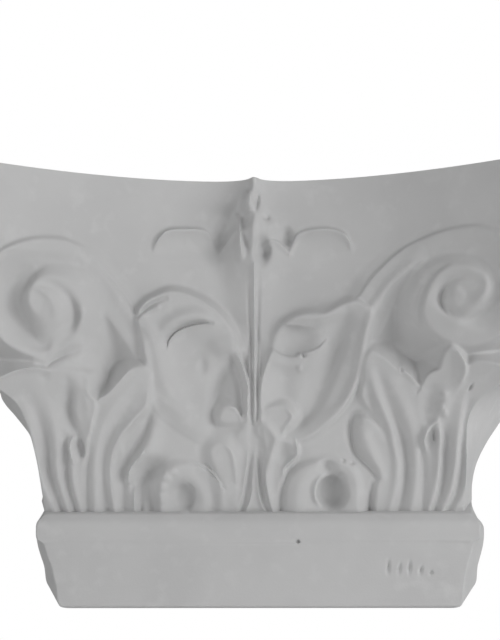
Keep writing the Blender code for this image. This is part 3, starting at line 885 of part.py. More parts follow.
def build():
    for old in list(bpy.data.objects):
        bpy.data.objects.remove(old)
    mesh = thinned(corbel_mesh())
    mesh.materials.append(plaster())
    mesh.shade_smooth()
    mesh.set_sharp_from_angle(angle=np.radians(SMOOTH_UNDER))
    corbel = bpy.data.objects.new("corbel", mesh)
    bpy.context.collection.objects.link(corbel)


build()
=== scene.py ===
import math

import bpy
import numpy as np
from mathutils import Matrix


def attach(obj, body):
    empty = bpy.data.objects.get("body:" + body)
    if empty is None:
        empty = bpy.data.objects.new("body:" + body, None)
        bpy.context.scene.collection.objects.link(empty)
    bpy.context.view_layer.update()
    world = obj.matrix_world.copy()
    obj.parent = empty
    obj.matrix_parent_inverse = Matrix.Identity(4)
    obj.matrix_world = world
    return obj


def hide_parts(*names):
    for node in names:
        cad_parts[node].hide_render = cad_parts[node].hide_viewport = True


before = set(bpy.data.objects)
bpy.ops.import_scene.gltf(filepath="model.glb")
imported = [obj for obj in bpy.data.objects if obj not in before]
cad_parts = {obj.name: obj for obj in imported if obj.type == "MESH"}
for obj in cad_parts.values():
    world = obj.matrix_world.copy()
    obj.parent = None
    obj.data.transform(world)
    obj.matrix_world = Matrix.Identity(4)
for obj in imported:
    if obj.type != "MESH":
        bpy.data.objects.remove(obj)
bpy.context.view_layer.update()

# THE CAST
# The corbel is one piece of gypsum plaster, cast in a mould taken from a carved half capital.
# Its face is worked out as the distance of every point of it from the wall, in millimetres on a sheet:
# a plain bell, then the scrolls and leaves laid over it in the carver's order, and the grooves cut in.
HEIGHT = 0.2130              # underside to top bed
TOP_WIDTH = 0.2660           # across the horns, arris to arris
TOP_SPREAD = 0.0100          # the sides widen by this much from the arris to the wall, at the top
HORN_REACH = 0.1100          # wall to the face at the horns
MIDDLE_REACH = 0.0530        # wall to the bell at the middle, near the top
RIB_REACH = 0.0090           # how far the middle rib stands out of the hollow face
NECK_WIDTH = 0.2090          # across the leaves just above the moulding
NECK_SPREAD = 0.0115         # widening from arris to wall at the neck
NECK_REACH = 0.0440          # wall to the bell behind the leaves' feet
MOULDING_HEIGHT = 0.0463
MOULDING_WIDTH = 0.2172      # across the bead, arris to arris
MOULDING_REACH = 0.0640      # wall to the front of the bead
MOULDING_FOOT_IN = 0.0080    # how far the moulding's front runs back in at its underside
MOULDING_SPREAD = 0.0150     # widening from arris to wall at the moulding
MOULDING_OFF = 0.0010        # how far right of the middle the moulding's top was cut
MOULDING_LEAN = 0.0010       # and how much further right its underside
CARVING_DEPTH = 0.0125       # how far the scrolls stand out of the bell
LEVEL_GAP = 0.0002           # between the moulding's top level and the carving's first

# The carving is drawn on a sheet in millimetres, as the right half of the face, and fitted to the sizes
SHEET_HEIGHT = 215.0
SHEET_FOOT = 48.3
SHEET_TOP_HALF = 133.0
SHEET_NECK_HALF = 104.5
SHEET_DEPTH = 9.5
WALL_RUN = 7.0               # how far outside its edge a form's falling wall is worked out
WORN = 0.8                   # how far the whole carving is rubbed down
RIB_RUN = 2.4                # half widths of a rib, past which it is as good as flat
FAR_BACK = -50.0             # a lift so low that the form doesn't show
BELL_LEANS_TO = 175.0        # height up to which the bell leans out
ARRIS_HEIGHTS = (150.0, 196.0)   # where the arris up the top field's middle begins, and where it is full
ARRIS_HALF = 7.0
LIP_HEIGHTS = (180.0, 197.0)     # where the top field begins to swell, and where it stands out in full
LIP_REACH = 0.0020           # metres, as on the part
LIP_RISE = 0.07              # millimetres that the swelling rises for each one across, towards the horns
LEFT, RIGHT = -1, 1
BOTH = (LEFT, RIGHT)


def ease(start, end, value):
    """0 before start, 1 after end, and a smooth change between them."""
    share = np.clip((value - start) / (end - start), 0, 1)
    return share * share * (3 - 2 * share)


def curve(rows, closed=False, steps=8):
    """Points on a smooth curve through the given rows."""
    rows = np.array(rows, float)
    if closed:
        ends = np.vstack([rows[-1:], rows, rows[:2]])
    else:
        ends = np.vstack([2 * rows[0] - rows[1], rows, 2 * rows[-1] - rows[-2]])
    share = np.linspace(0, 1, steps, endpoint=False)[:, None]
    points = []
    for a, b, c, d in zip(ends, ends[1:], ends[2:], ends[3:]):
        points.append(b + 0.5 * share * ((c - a) + share * ((2 * a - 5 * b + 4 * c - d)
                                                            + share * (3 * b - a - 3 * c + d))))
    points.append(rows[:1] if closed else rows[-1:])
    return np.vstack(points)


# Half the width on the sheet at each height, from the middle to the arris and from the middle to the wall
ARRIS_OUTLINE = {LEFT: ((47.5, 106), (69, 107.8), (84, 110), (95, 113), (103, 116.5), (108, 121.5),
                        (112, 125.5), (117, 127), (132, 126.5), (150, 127), (165, 128), (180, 130.5),
                        (190, 132.5), (215, 133)),
                 RIGHT: ((47.5, 104.5), (69, 105.2), (85, 104.8), (93, 105), (99, 106.6), (104, 109.6),
                         (108, 114), (112, 120), (116, 124.5), (121, 126.5), (132, 126.5), (150, 127),
                         (165, 128), (180, 130.5), (190, 132.5), (215, 133))}
WALL_OUTLINE = {LEFT: ((47.5, 108.1), (58, 106.4), (69, 107.5), (77, 111), (84, 114.5), (95, 123.3),
                       (102, 129.5), (108, 132.5), (120, 133.5), (215, 133)),
                RIGHT: ((47.5, 107.2), (58, 107.8), (69, 110.7), (80, 116.5), (92, 124.7), (102, 130.2),
                        (108, 133), (120, 133.5), (215, 133))}


def sheet_half(high, outline):
    """Half a width on the sheet at each height, along a smooth line through the outline's points."""
    rows = curve(outline)
    return np.interp(high, rows[:, 0], rows[:, 1])


def both_halves(across, left, right):
    """Places across the face from -1 to 1, as places between the left and the right half width."""
    return across * np.where(across < 0, left, right)


class Face:
    """The face as a sheet of distances from the wall, in sheet millimetres, that forms are laid on."""

    def __init__(self, x, z, bell):
        self.x, self.z = x, z
        self.ground = bell
        self.front = bell.copy()

    def near(self, side, rows, reach):
        """Which points of the face lie near the rows, and where they are."""
        x = self.x * side
        low, high = rows[:, :2].min(axis=0) - reach, rows[:, :2].max(axis=0) + reach
        mask = (x > low[0]) & (x < high[0]) & (self.z > low[1]) & (self.z < high[1])
        return mask, x[mask], self.z[mask]

    def follow(self, x, z, rows):
        """Distance from a path, which hand of it, and the path's own values at the nearest place."""
        nearest = np.full(x.shape, np.inf)
        hand = np.ones_like(x)
        values = np.zeros((rows.shape[1], x.size))
        for a, b in zip(rows, rows[1:]):
            run, rise = b[0] - a[0], b[1] - a[1]
            share = np.clip(((x - a[0]) * run + (z - a[1]) * rise) / max(run**2 + rise**2, 1e-12), 0, 1)
            dx, dz = x - a[0] - share * run, z - a[1] - share * rise
            distance = np.hypot(dx, dz)
            closer = distance < nearest
            nearest[closer] = distance[closer]
            hand[closer] = np.sign(run * dz - rise * dx)[closer]
            for k in range(2, rows.shape[1]):
                values[k][closer] = (a[k] + share * (b[k] - a[k]))[closer]
        return nearest, hand, values

    def lay(self, mask, lift, soft):
        """Lays a form over the face: the higher of the two, with a soft joint."""
        front, top = self.front[mask], self.ground[mask] + lift
        share = np.clip(0.5 + 0.5 * (top - front) / soft, 0, 1)
        self.front[mask] = front + (top - front) * share + 0.5 * soft * share * (1 - share)

    def leaf(self, side, edge, way, low, high, rim=0.0, rim_width=2.0, dish=0.0, wall=1.8, soft=1.2):
        """A blade inside a closed edge, from its low lift at the foot of its way to its high lift."""
        rows = curve(edge, closed=True)
        mask, x, z = self.near(side, rows, WALL_RUN)
        distance, _, _ = self.follow(x, z, rows)
        inside = np.zeros(x.shape, bool)
        for a, b in zip(rows, rows[1:]):
            if a[1] != b[1]:
                crossing = a[0] + (z - a[1]) * (b[0] - a[0]) / (b[1] - a[1])
                inside ^= ((a[1] > z) != (b[1] > z)) & (x < crossing)
        foot, tip = np.array(way, float)
        run = tip - foot
        share = ((x - foot[0]) * run[0] + (z - foot[1]) * run[1]) / (run @ run)
        lift = low + (high - low) * np.clip(share, 0, 1)
        edge_share = np.exp(-distance / rim_width)
        blade = lift + rim * edge_share - dish * (1 - edge_share)
        self.lay(mask, np.where(inside, blade, lift + rim - wall * distance), soft)

    def roll(self, side, path, crown=0.8, wall=1.8, soft=1.2):
        """A rounded strap along a path of x, z, half width and lift."""
        rows = curve(path)
        mask, x, z = self.near(side, rows, rows[:, 2].max() + WALL_RUN)
        distance, _, values = self.follow(x, z, rows)
        width, lift = np.maximum(values[2], 0.05), values[3]
        across = np.minimum(distance / width, 1)
        top = lift + crown * (1 - across**2) - wall * np.maximum(distance - width, 0)
        self.lay(mask, top, soft)

    def rib(self, side, path, sharp=0, crisp=1.0):
        """A soft rib along a path of x, z, half width and height, or a groove where the height is below 0.

        Where sharp is IN or OUT, that side of a path drawn upwards falls away at once, as at a leaf's edge.
        """
        rows = curve(path)
        mask, x, z = self.near(side, rows, RIB_RUN * rows[:, 2].max())
        distance, hand, values = self.follow(x, z, rows)
        width = np.maximum(values[2], 0.05)
        if sharp:
            width = np.where(hand == sharp, crisp, width)
        self.front[mask] += values[3] * np.exp(-((distance / width) ** 2))

    def spot(self, side, x, z, half_wide, half_high, height, turn=0.0, steep=1.5):
        """A soft knob, or a hollow where the height is below 0, with a harder edge where steep is more."""
        angle = np.radians(turn)
        dx, dz = self.x * side - x, self.z - z
        along = (dx * np.cos(angle) + dz * np.sin(angle)) / half_wide
        up = (dz * np.cos(angle) - dx * np.sin(angle)) / half_high
        self.front += height * np.exp(-((along**2 + up**2) ** steep))

    def rub(self, size):
        """Softens the whole face: its edges are rubbed down and rounded by the casting."""
        for axis, places in enumerate((self.z, self.x)):
            step = np.abs(np.diff(places, axis=axis)).max()
            reach = int(3 * size / step) + 1
            weights = np.exp(-0.5 * (np.arange(-reach, reach + 1) * step / size) ** 2)
            count = self.front.shape[axis]
            padded = np.pad(self.front, [(reach, reach) if k == axis else (0, 0) for k in (0, 1)],
                            mode="edge")
            self.front = sum(weight * np.take(padded, range(k, k + count), axis=axis)
                             for k, weight in enumerate(weights / weights.sum()))


# Places on the sheet that are rubbed smooth, on both halves: x, z, how far round, and how much
RUBBED = ((79.5, 175.0, 5.5, 2.4), (71.5, 134.0, 5.0, 1.6))

IN, OUT = 1, -1              # towards the middle of the face, and away from it

# Each scroll's centre, and its rows at turns of the winding: the turn, the band's outer radius there and
# its lift, then the radius of the valley in its face, and the valley's depth, width outwards and inwards
SCROLLS = {LEFT: (99.3, 151.0, [(-0.28, 40.0, -4.0, 22.0, 0.0, 8.0, 6.0),
                                (-0.18, 33.5, -1.0, 20.0, 0.4, 8.0, 6.0),
                                (-0.10, 32.3, 1.4, 18.5, 1.2, 8.0, 5.0),
                                (-0.05, 31.6, 2.2, 17.5, 2.2, 8.0, 4.5),
                                (0.0, 30.0, 2.8, 16.5, 3.8, 9.0, 4.0),
                                (0.11, 27.0, 4.4, 15.4, 7.8, 8.8, 4.8),
                                (0.25, 26.4, 5.8, 15.4, 10.6, 8.0, 5.4),
                                (0.34, 26.4, 6.4, 15.6, 9.4, 8.0, 5.8),
                                (0.41, 26.5, 6.6, 18.0, 6.2, 5.0, 8.0),
                                (0.49, 26.1, 6.8, 20.8, 3.4, 2.2, 9.0),
                                (0.56, 22.6, 6.8, 17.4, 3.4, 2.2, 7.0),
                                (0.61, 19.9, 6.8, 15.0, 3.6, 2.6, 5.5),
                                (0.70, 17.0, 6.6, 12.0, 4.0, 2.8, 3.4),
                                (0.79, 15.3, 6.2, 10.0, 2.2, 2.4, 2.4),
                                (0.88, 14.4, 5.8, 9.2, 1.0, 1.8, 1.8),
                                (0.98, 12.4, 5.4, 8.6, 0.4, 1.4, 1.4),
                                (1.08, 9.6, 5.6, 6.0, 0.2, 1.0, 1.0),
                                (1.21, 7.6, 6.0, 3.0, 0.0, 1.0, 1.0),
                                (1.50, 7.0, 6.0, 3.0, 0.0, 1.0, 1.0)]),
           RIGHT: (100.0, 154.0, [(-0.28, 48.0, -4.0, 24.0, 0.0, 8.0, 6.0),
                                  (-0.19, 40.4, -1.0, 23.0, 0.6, 8.0, 6.0),
                                  (-0.144, 36.3, 0.8, 21.5, 1.6, 8.0, 6.0),
                                  (-0.087, 32.8, 1.6, 19.5, 2.6, 7.0, 5.0),
                                  (-0.028, 31.5, 2.0, 18.0, 3.0, 8.0, 4.5),
                                  (0.034, 30.5, 2.6, 17.0, 3.4, 9.0, 4.5),
                                  (0.12, 28.5, 3.6, 16.0, 4.4, 9.0, 4.5),
                                  (0.25, 26.4, 5.0, 15.0, 5.2, 9.0, 4.5),
                                  (0.38, 26.0, 6.0, 13.5, 3.4, 7.0, 5.0),
                                  (0.49, 24.6, 6.6, 11.2, 1.6, 3.0, 3.0),
                                  (0.60, 21.7, 7.2, 9.4, 2.4, 1.9, 1.8),
                                  (0.72, 18.9, 7.4, 8.4, 3.2, 4.4, 1.8),
                                  (0.78, 17.9, 7.2, 8.2, 3.2, 4.2, 1.8),
                                  (0.85, 16.4, 6.8, 8.0, 2.4, 3.8, 1.8),
                                  (0.92, 14.4, 6.2, 7.8, 2.0, 1.6, 1.6),
                                  (0.99, 12.2, 5.8, 7.6, 0.9, 1.5, 1.5),
                                  (1.11, 10.2, 5.6, 6.0, 0.2, 1.0, 1.0),
                                  (1.20, 8.6, 5.6, 3.0, 0.0, 1.0, 1.0),
                                  (1.35, 7.2, 5.8, 3.0, 0.0, 1.0, 1.0),
                                  (1.50, 6.8, 5.8, 3.0, 0.0, 1.0, 1.0)])}
# The part of the sheet that the scrolls reach: from the middle, and from the foot
SCROLL_FROM, SCROLL_LOW, SCROLL_HIGH = 56, 116, 194
SCROLL_START = -0.28         # turns, where the stem runs into the scroll
EYE_LIFT = 6.3
EYE_INSIDE = 0.4             # how far inside the band's last turn the eye's edge lies
EYE_WALL = 1.2
EYE_CROWN = 0.008            # how fast the eye rounds down from its middle
# How steeply the band falls away outside its edge at turns of the winding, and how softly it meets the face
SCROLL_WALLS = {LEFT: ((-0.3, 1.6, 0.8), (0.1, 1.4, 0.8), (0.45, 1.2, 1.0), (0.56, 0.6, 3.0),
                       (0.85, 0.4, 3.0), (1.0, 0.8, 1.4), (1.12, 1.3, 0.9), (1.5, 1.0, 1.4)),
                RIGHT: ((-0.3, 1.6, 0.8), (0.1, 1.4, 0.8), (0.5, 1.2, 1.0), (0.62, 1.0, 3.0),
                        (0.85, 0.8, 2.4), (0.95, 0.8, 1.4), (1.1, 0.8, 0.9), (1.5, 0.6, 1.4))}


def scrolls(face):
    """A band wound in on itself at each top corner, hollowed beside each inner turn, round a raised eye."""
    for side, (middle_x, middle_z, rows) in SCROLLS.items():
        turns, edge, rim, valley, depth, wide_out, wide_in = curve(rows, steps=5).T
        wall_turns, walls, softs = np.array(SCROLL_WALLS[side]).T
        mask = (face.x * side > SCROLL_FROM) & (face.z > SCROLL_LOW) & (face.z < SCROLL_HIGH)
        x, z = face.x[mask] * side - middle_x, face.z[mask] - middle_z
        radius = np.hypot(x, z)
        first = np.mod(np.arctan2(x, z) / (2 * np.pi) - SCROLL_START, 1.0) + SCROLL_START
        lift = np.full(x.shape, FAR_BACK)
        soft = np.ones(x.shape)
        for coil in (0, 1):
            turn = first + coil
            outer, high = np.interp(turn, turns, edge), np.interp(turn, turns, rim)
            off = radius - np.interp(turn, turns, valley)
            spread = np.where(off > 0, np.interp(turn, turns, wide_out), np.interp(turn, turns, wide_in))
            top = high - np.interp(turn, turns, depth) * np.exp(-((off / spread) ** 2))
            wall = np.interp(turn, wall_turns, walls)
            coil_lift = np.where(radius < outer, top, high - wall * (radius - outer))
            soft = np.where(coil_lift > lift, np.interp(turn, wall_turns, softs), soft)
            lift = np.maximum(lift, coil_lift)
        eye = edge[-1] - EYE_INSIDE
        dome = EYE_LIFT - EYE_CROWN * np.minimum(radius, eye) ** 2
        lift = np.maximum(lift, dome - EYE_WALL * np.maximum(radius - eye, 0))
        face.lay(mask, lift, soft)
    # the crescent that stands up beside each eye
    face.rib(LEFT, [(99, 140, 2.6, 0.4), (95, 143, 3.0, 1.5), (94.2, 148.4, 3.2, 2.0),
                    (96.7, 153.6, 2.8, 1.8), (101, 157.2, 2.0, 1.2), (106, 158.8, 1.2, 0.2)], sharp=IN,
             crisp=1.6)
    face.rib(RIGHT, [(95.6, 140.5, 3.4, 0.8), (102.3, 145, 3.8, 2.2), (107.5, 150.4, 3.8, 2.6),
                     (110.1, 156.1, 3.0, 2.4), (109.1, 161.3, 2.0, 1.4), (105.5, 166.5, 1.2, 0.2)], sharp=OUT,
             crisp=2.4)


def hollows(face):
    """The deep places between the stems, the scrolls and the lower ring of leaves."""
    for side in BOTH:
        face.rib(side, [(97, 124, 6, 1.6), (88, 132, 7, 2.6), (83, 142, 7, 3.0), (81, 154, 6, 2.0)])
        face.rib(side, [(62, 116, 9, -2.6), (66, 126, 10, -4.0), (71, 136, 10, -4.6), (76, 145, 9, -4.2),
                        (80, 153, 6, -2.4)], sharp=IN, crisp=7.0)
        face.rib(side, [(109, 124, 4, -1.0), (115, 124.5, 5, -3.6), (122, 125.5, 7, -5.6),
                        (132, 127, 7, -5.6)])
    face.rib(LEFT, [(112, 123, 3, -0.6), (118, 123.5, 5, -4.0), (125, 124, 6, -7.0), (137, 125, 7, -8.0)])
    face.rib(LEFT, [(70, 108, 5, -1.6), (72, 116, 7, -3.0), (74, 124, 7, -2.0)])
    face.roll(LEFT, [(92, 104, 7, 7.0), (93, 114, 8, 7.8), (93, 121, 8, 7.2), (91, 130, 7, 5.4)], crown=0.4,
              wall=0.7, soft=3.0)
    face.rib(RIGHT, [(83, 108, 4, -1.6), (84, 116, 6, -3.4), (84, 125, 7, -3.0), (88, 132, 7, -1.6)])
    face.rib(RIGHT, [(75, 130, 5, -0.8), (75.5, 140, 5, -2.4), (77, 150, 5, -3.0), (80, 159, 5, -2.4),
                     (85, 166, 4, -0.8)], sharp=OUT, crisp=2.6)


def stems(face):
    """The strap that comes out behind each calyx and runs up into the scroll."""
    face.leaf(LEFT, [(50.5, 128), (55, 137), (60, 146.5), (64.5, 154.5), (71.5, 164), (77.5, 173), (82, 172),
                     (83, 164), (82.5, 156.5), (78, 152), (72.5, 145.5), (66.5, 136.5), (61, 129),
                     (55.5, 120.5), (50, 118)], ((60, 140), (80, 166)), 3.2, 1.6, wall=0.7, soft=4.0)
    face.rib(LEFT, [(58, 124, 3.2, 0.3), (64, 134, 3.4, 0.5), (70, 143.5, 3.4, 0.4), (76, 151, 3.2, 0.3),
                    (82, 157.5, 2.8, 0.3), (86, 164, 2.4, 0.1)])
    face.rib(LEFT, [(53, 128, 2.6, 0.5), (58, 138, 2.8, 0.7), (62.5, 147, 3.0, 0.8), (67, 155, 3.2, 0.6),
                    (74, 165, 3.2, 0.5), (81, 173, 3.2, 0.3)])
    face.leaf(RIGHT, [(46, 118), (48, 132), (50, 146), (51.5, 153.5), (56, 161.5), (62.5, 169),
                      (71.5, 176.2), (78, 179), (80, 176), (79, 172), (74, 166), (67, 159.5), (62, 152),
                      (58, 144), (54, 132.5), (52, 118.5)],
              ((56, 140), (76, 172)), 4.6, 1.8, rim=0.2, wall=0.7, soft=2.4)
    face.rib(RIGHT, [(49.5, 120, 2.2, 0.6), (52.5, 132.5, 2.2, 1.2), (57, 146, 2.4, 1.5),
                     (62, 154.5, 2.4, 1.5), (67.5, 161.5, 2.4, 1.4), (74, 167.5, 2.4, 1.3),
                     (82, 172.5, 2.4, 1.1), (91, 176.5, 2.4, 0.4)], sharp=OUT, crisp=3.4)
    face.rib(RIGHT, [(60, 129.5, 1.4, 0.6), (63.5, 138, 1.8, 1.0), (68.5, 147.5, 1.6, 0.4)])


def band_lines(face):
    """The thin line along the upper side of each strap, where it stands out of the plain field."""
    face.rib(LEFT, [(55, 141.5, 1.2, -0.4), (60, 149.5, 1.5, -0.6), (65.5, 157.5, 1.5, -0.6),
                    (72, 166, 1.4, -0.7), (80, 176.5, 1.4, -0.4), (88, 181.5, 1.2, -0.3)], sharp=OUT,
             crisp=0.9)
    face.rib(RIGHT, [(52, 156, 2.0, -0.8), (57, 163.5, 2.0, -1.6), (63.5, 170.5, 2.0, -1.8),
                     (72, 177.5, 1.8, -1.4), (83, 182.8, 1.6, -1.0), (94, 185.5, 1.6, -0.6),
                     (107, 186.5, 1.6, -0.2)], sharp=OUT, crisp=0.8)


def fans(face):
    """The leaf that spreads behind the others, two lobes to a side, from a broad ridge up the middle."""
    edges = {LEFT: [(50, 178), (48.5, 184), (43.5, 189), (35, 190), (25, 189.5), (20.5, 184), (17.5, 176),
                    (14.5, 183), (11, 189), (6, 186), (2, 170), (6, 150), (20, 152), (42, 168)],
             RIGHT: [(49.5, 178), (47.5, 184), (44, 187.5), (37, 189.5), (28, 189), (22, 187), (19.5, 182),
                     (17.5, 177.5), (16, 182), (10, 184.5), (4, 181), (2, 168), (6, 150), (20, 152),
                     (42, 168)]}
    for side in BOTH:
        face.leaf(side, edges[side], ((24, 160), (30, 190)), -6.0, 2.2, rim=0.4, rim_width=3.0, wall=2.0,
                  soft=1.2)
    face.rib(RIGHT, [(0, 112, 5, 1.0), (0, 130, 7, 2.4), (0, 152, 10, 4.2), (0, 172, 12, 4.6),
                     (0, 190, 11, 2.5), (0, 205, 9, 0.8)])
    face.spot(LEFT, 19, 176, 6, 14, -1.6, turn=-12)


def fan_rims(face):
    """The crisp upper edges of the leaf behind the others, a broad lobe and a narrow one to a side."""
    outer = {LEFT: [(50, 179.5, 0.8, 0.2), (47.5, 184.6, 1.6, 0.7), (43, 188.8, 2.0, 0.9),
                    (35, 190, 2.2, 0.7), (26, 189.6, 2.2, 0.5), (22.2, 187, 1.8, 0.4), (20, 181, 1.2, 0.2)],
             RIGHT: [(48.5, 179.5, 0.8, 0.3), (47.4, 183.4, 1.4, 0.9), (44.2, 187, 1.8, 1.0),
                     (37, 189.5, 2.2, 0.9), (28, 189.4, 2.2, 0.7), (23, 187.8, 2.0, 0.6),
                     (20.4, 184.6, 1.8, 0.8), (18, 178, 1.4, 0.5)]}
    inner = {LEFT: [(17.4, 177.5, 1.0, 0.3), (15.4, 182, 1.6, 0.8), (12.6, 185.6, 1.8, 1.0),
                    (8.6, 190.5, 1.4, 0.3)],
             RIGHT: [(17.4, 178, 1.2, 0.4), (14.6, 181.8, 1.6, 0.9), (10, 184.4, 1.8, 1.0),
                     (5.5, 182.4, 1.6, 0.8), (2.5, 179, 1.2, 0.2)]}
    for side in BOTH:
        for rim in (outer[side], inner[side]):
            face.rib(side, rim, sharp=OUT, crisp=0.5)


def calyxes(face):
    """The leaf that wraps each stem beside the middle, troughed along its outer edge."""
    edges = {LEFT: [(57.5, 145), (54, 152), (48.5, 155.5), (42.5, 158), (36, 157.5), (28, 154.5),
                    (20, 149.5), (14, 143), (9.5, 135), (8.5, 127), (5, 118.5), (2.5, 108), (3, 94),
                    (10, 84), (22, 80), (32, 85), (41, 91), (48.5, 97), (51.5, 104), (53, 116),
                    (55.5, 132)],
             RIGHT: [(58.5, 146), (55, 150), (50.5, 152.5), (45.5, 151.5), (41, 149.5), (35, 146.5),
                     (28.5, 147), (22.5, 146), (16, 142.5), (11, 137), (8.5, 131), (5, 125), (2.5, 118.5),
                     (2, 108), (2, 95), (10, 84), (19.5, 82), (26, 83.5), (35, 89), (42.5, 96), (48, 103.5),
                     (52, 113), (55, 126)]}
    for side in BOTH:
        face.leaf(side, edges[side], ((15, 90), (35, 155)), 5.2, 6.2, rim=0.2, dish=0.4, rim_width=3.0,
                  wall=1.6, soft=2.0)
        face.rib(side, [(3, 90, 7, 1.6), (2.8, 107, 8, 3.0), (4.8, 118, 8, 3.0), (8.5, 128, 6, 1.6)],
                 sharp=IN, crisp=0.8)

    # the left one: its outer flank falls from a long crest, and a thick lip stands over a hollow
    face.rib(LEFT, [(26, 86, 4, 0.6), (32, 91.5, 5, 1.2), (37, 98, 6, 1.8), (41.5, 106.5, 6.4, 2.2),
                    (45.3, 116, 5.6, 2.4), (48, 127, 4.4, 2.3), (51, 137, 3.2, 2.0), (56.5, 144.5, 2.2, 1.0)])
    face.rib(LEFT, [(50.5, 101, 1.4, 0.5), (52, 109, 1.5, 1.2), (53, 120, 1.7, 1.5), (54.6, 133, 1.8, 1.3)])
    face.rib(LEFT, [(20, 90, 6, -1.2), (19.5, 97, 7, -2.8), (19, 106, 7, -4.0), (16.5, 114, 7, -4.2),
                    (10.5, 122.5, 6, -2.6)], sharp=OUT, crisp=3.4)
    face.spot(LEFT, 33, 130, 11, 9, -2.4, turn=-10)
    face.rib(LEFT, [(46, 133, 3, 0.4), (44, 139, 3.6, 2.2), (39.5, 143, 4, 3.2), (33, 145.5, 4.2, 3.4),
                    (26.5, 145.5, 4, 2.6), (20, 143, 3, 1.0)])
    face.spot(LEFT, 13.5, 130.5, 8, 5.5, 2.0, turn=20)
    face.spot(LEFT, 26.3, 121, 2.2, 3.6, -1.1)

    # the right one: a trough inside its edge, and an upper and a lower lobe with a hollow between them
    face.rib(RIGHT, [(19, 83.8, 3.0, 0.8), (26, 85, 3.4, 1.6), (34, 90.5, 3.6, 2.2), (41, 97, 3.6, 2.4),
                     (46.5, 104.5, 3.6, 2.4), (50.3, 113, 3.4, 2.4), (53.3, 125, 3.2, 2.2),
                     (55.5, 137, 2.8, 2.0), (57.5, 145, 2.2, 1.0)], sharp=OUT, crisp=1.3)
    face.rib(RIGHT, [(16, 89.5, 5, -0.8), (20.5, 91.3, 5, -1.8), (25.5, 95.3, 6, -2.8),
                     (30.5, 101.5, 7, -3.6), (36, 113, 7, -4.2), (42, 129, 7, -4.4), (45.5, 140, 6, -3.4),
                     (46.5, 147, 4, -1.4)], sharp=OUT, crisp=3.0)
    face.rib(RIGHT, [(17, 98, 5, -1.0), (15, 108, 6, -1.6), (14, 118, 6, -1.2)])
    face.spot(RIGHT, 20, 134, 11, 7.5, -3.6, turn=30)
    face.rib(RIGHT, [(16, 142, 2.4, 0.6), (22, 144, 4, 2.0), (30, 144.5, 4, 2.0), (38, 147, 4, 1.6),
                     (46, 149.5, 3, 0.8)])
    face.rib(RIGHT, [(8.5, 127.5, 2.4, 0.8), (13, 123.5, 4, 1.8), (20, 122.5, 4.4, 2.0), (28, 125, 4.4, 2.0),
                     (34, 128.5, 3.4, 1.4)])


def calyx_creases(face):
    """The fine edges of the calyxes: undercut lips, and the nicks and beads left on them."""
    face.rib(LEFT, [(44.4, 129, 1.0, -0.4), (43.2, 134, 1.3, -1.8), (39.6, 138.2, 1.4, -2.4),
                    (34, 141.0, 1.3, -2.6), (27, 142.5, 1.2, -2.4), (21, 142.2, 1.0, -0.8)], sharp=IN,
             crisp=0.5)
    face.rib(LEFT, [(57.5, 145.5, 0.8, -1.2), (54.5, 149, 1.2, -2.0), (49.5, 152.5, 1.3, -1.8),
                    (44, 154.5, 1.2, -0.8)])
    face.rib(LEFT, [(53, 147.8, 1.0, 0.6), (48, 149.8, 1.2, 1.2)])
    face.rib(RIGHT, [(9, 129.6, 1.0, 0.4), (12.5, 126.8, 1.6, 0.8), (16.5, 125.4, 1.8, 0.9),
                     (21, 125.6, 1.8, 0.9), (24.5, 127.2, 1.8, 1.1), (29, 128.2, 1.8, 1.2),
                     (33, 130.2, 1.8, 1.2), (36.4, 134, 1.4, 0.6)], sharp=IN, crisp=0.6)
    face.rib(RIGHT, [(16.5, 141.6, 1.2, 0.6), (22, 141, 1.6, 1.0), (28, 140, 2.0, 0.6)], sharp=OUT, crisp=0.6)
    face.spot(RIGHT, 24.5, 126.4, 1.2, 1.2, -1.4)
    face.spot(RIGHT, 22.6, 119.6, 1.5, 1.7, 0.9)
    face.spot(RIGHT, 22.6, 126.4, 1.4, 1.2, 0.9)
    for side in BOTH:
        face.rib(side, [(3, 94, 1.6, 0.5), (2.6, 107, 1.6, 0.9), (4.6, 118, 1.6, 0.9), (8.0, 127, 1.4, 0.5)],
                 sharp=IN, crisp=0.5)


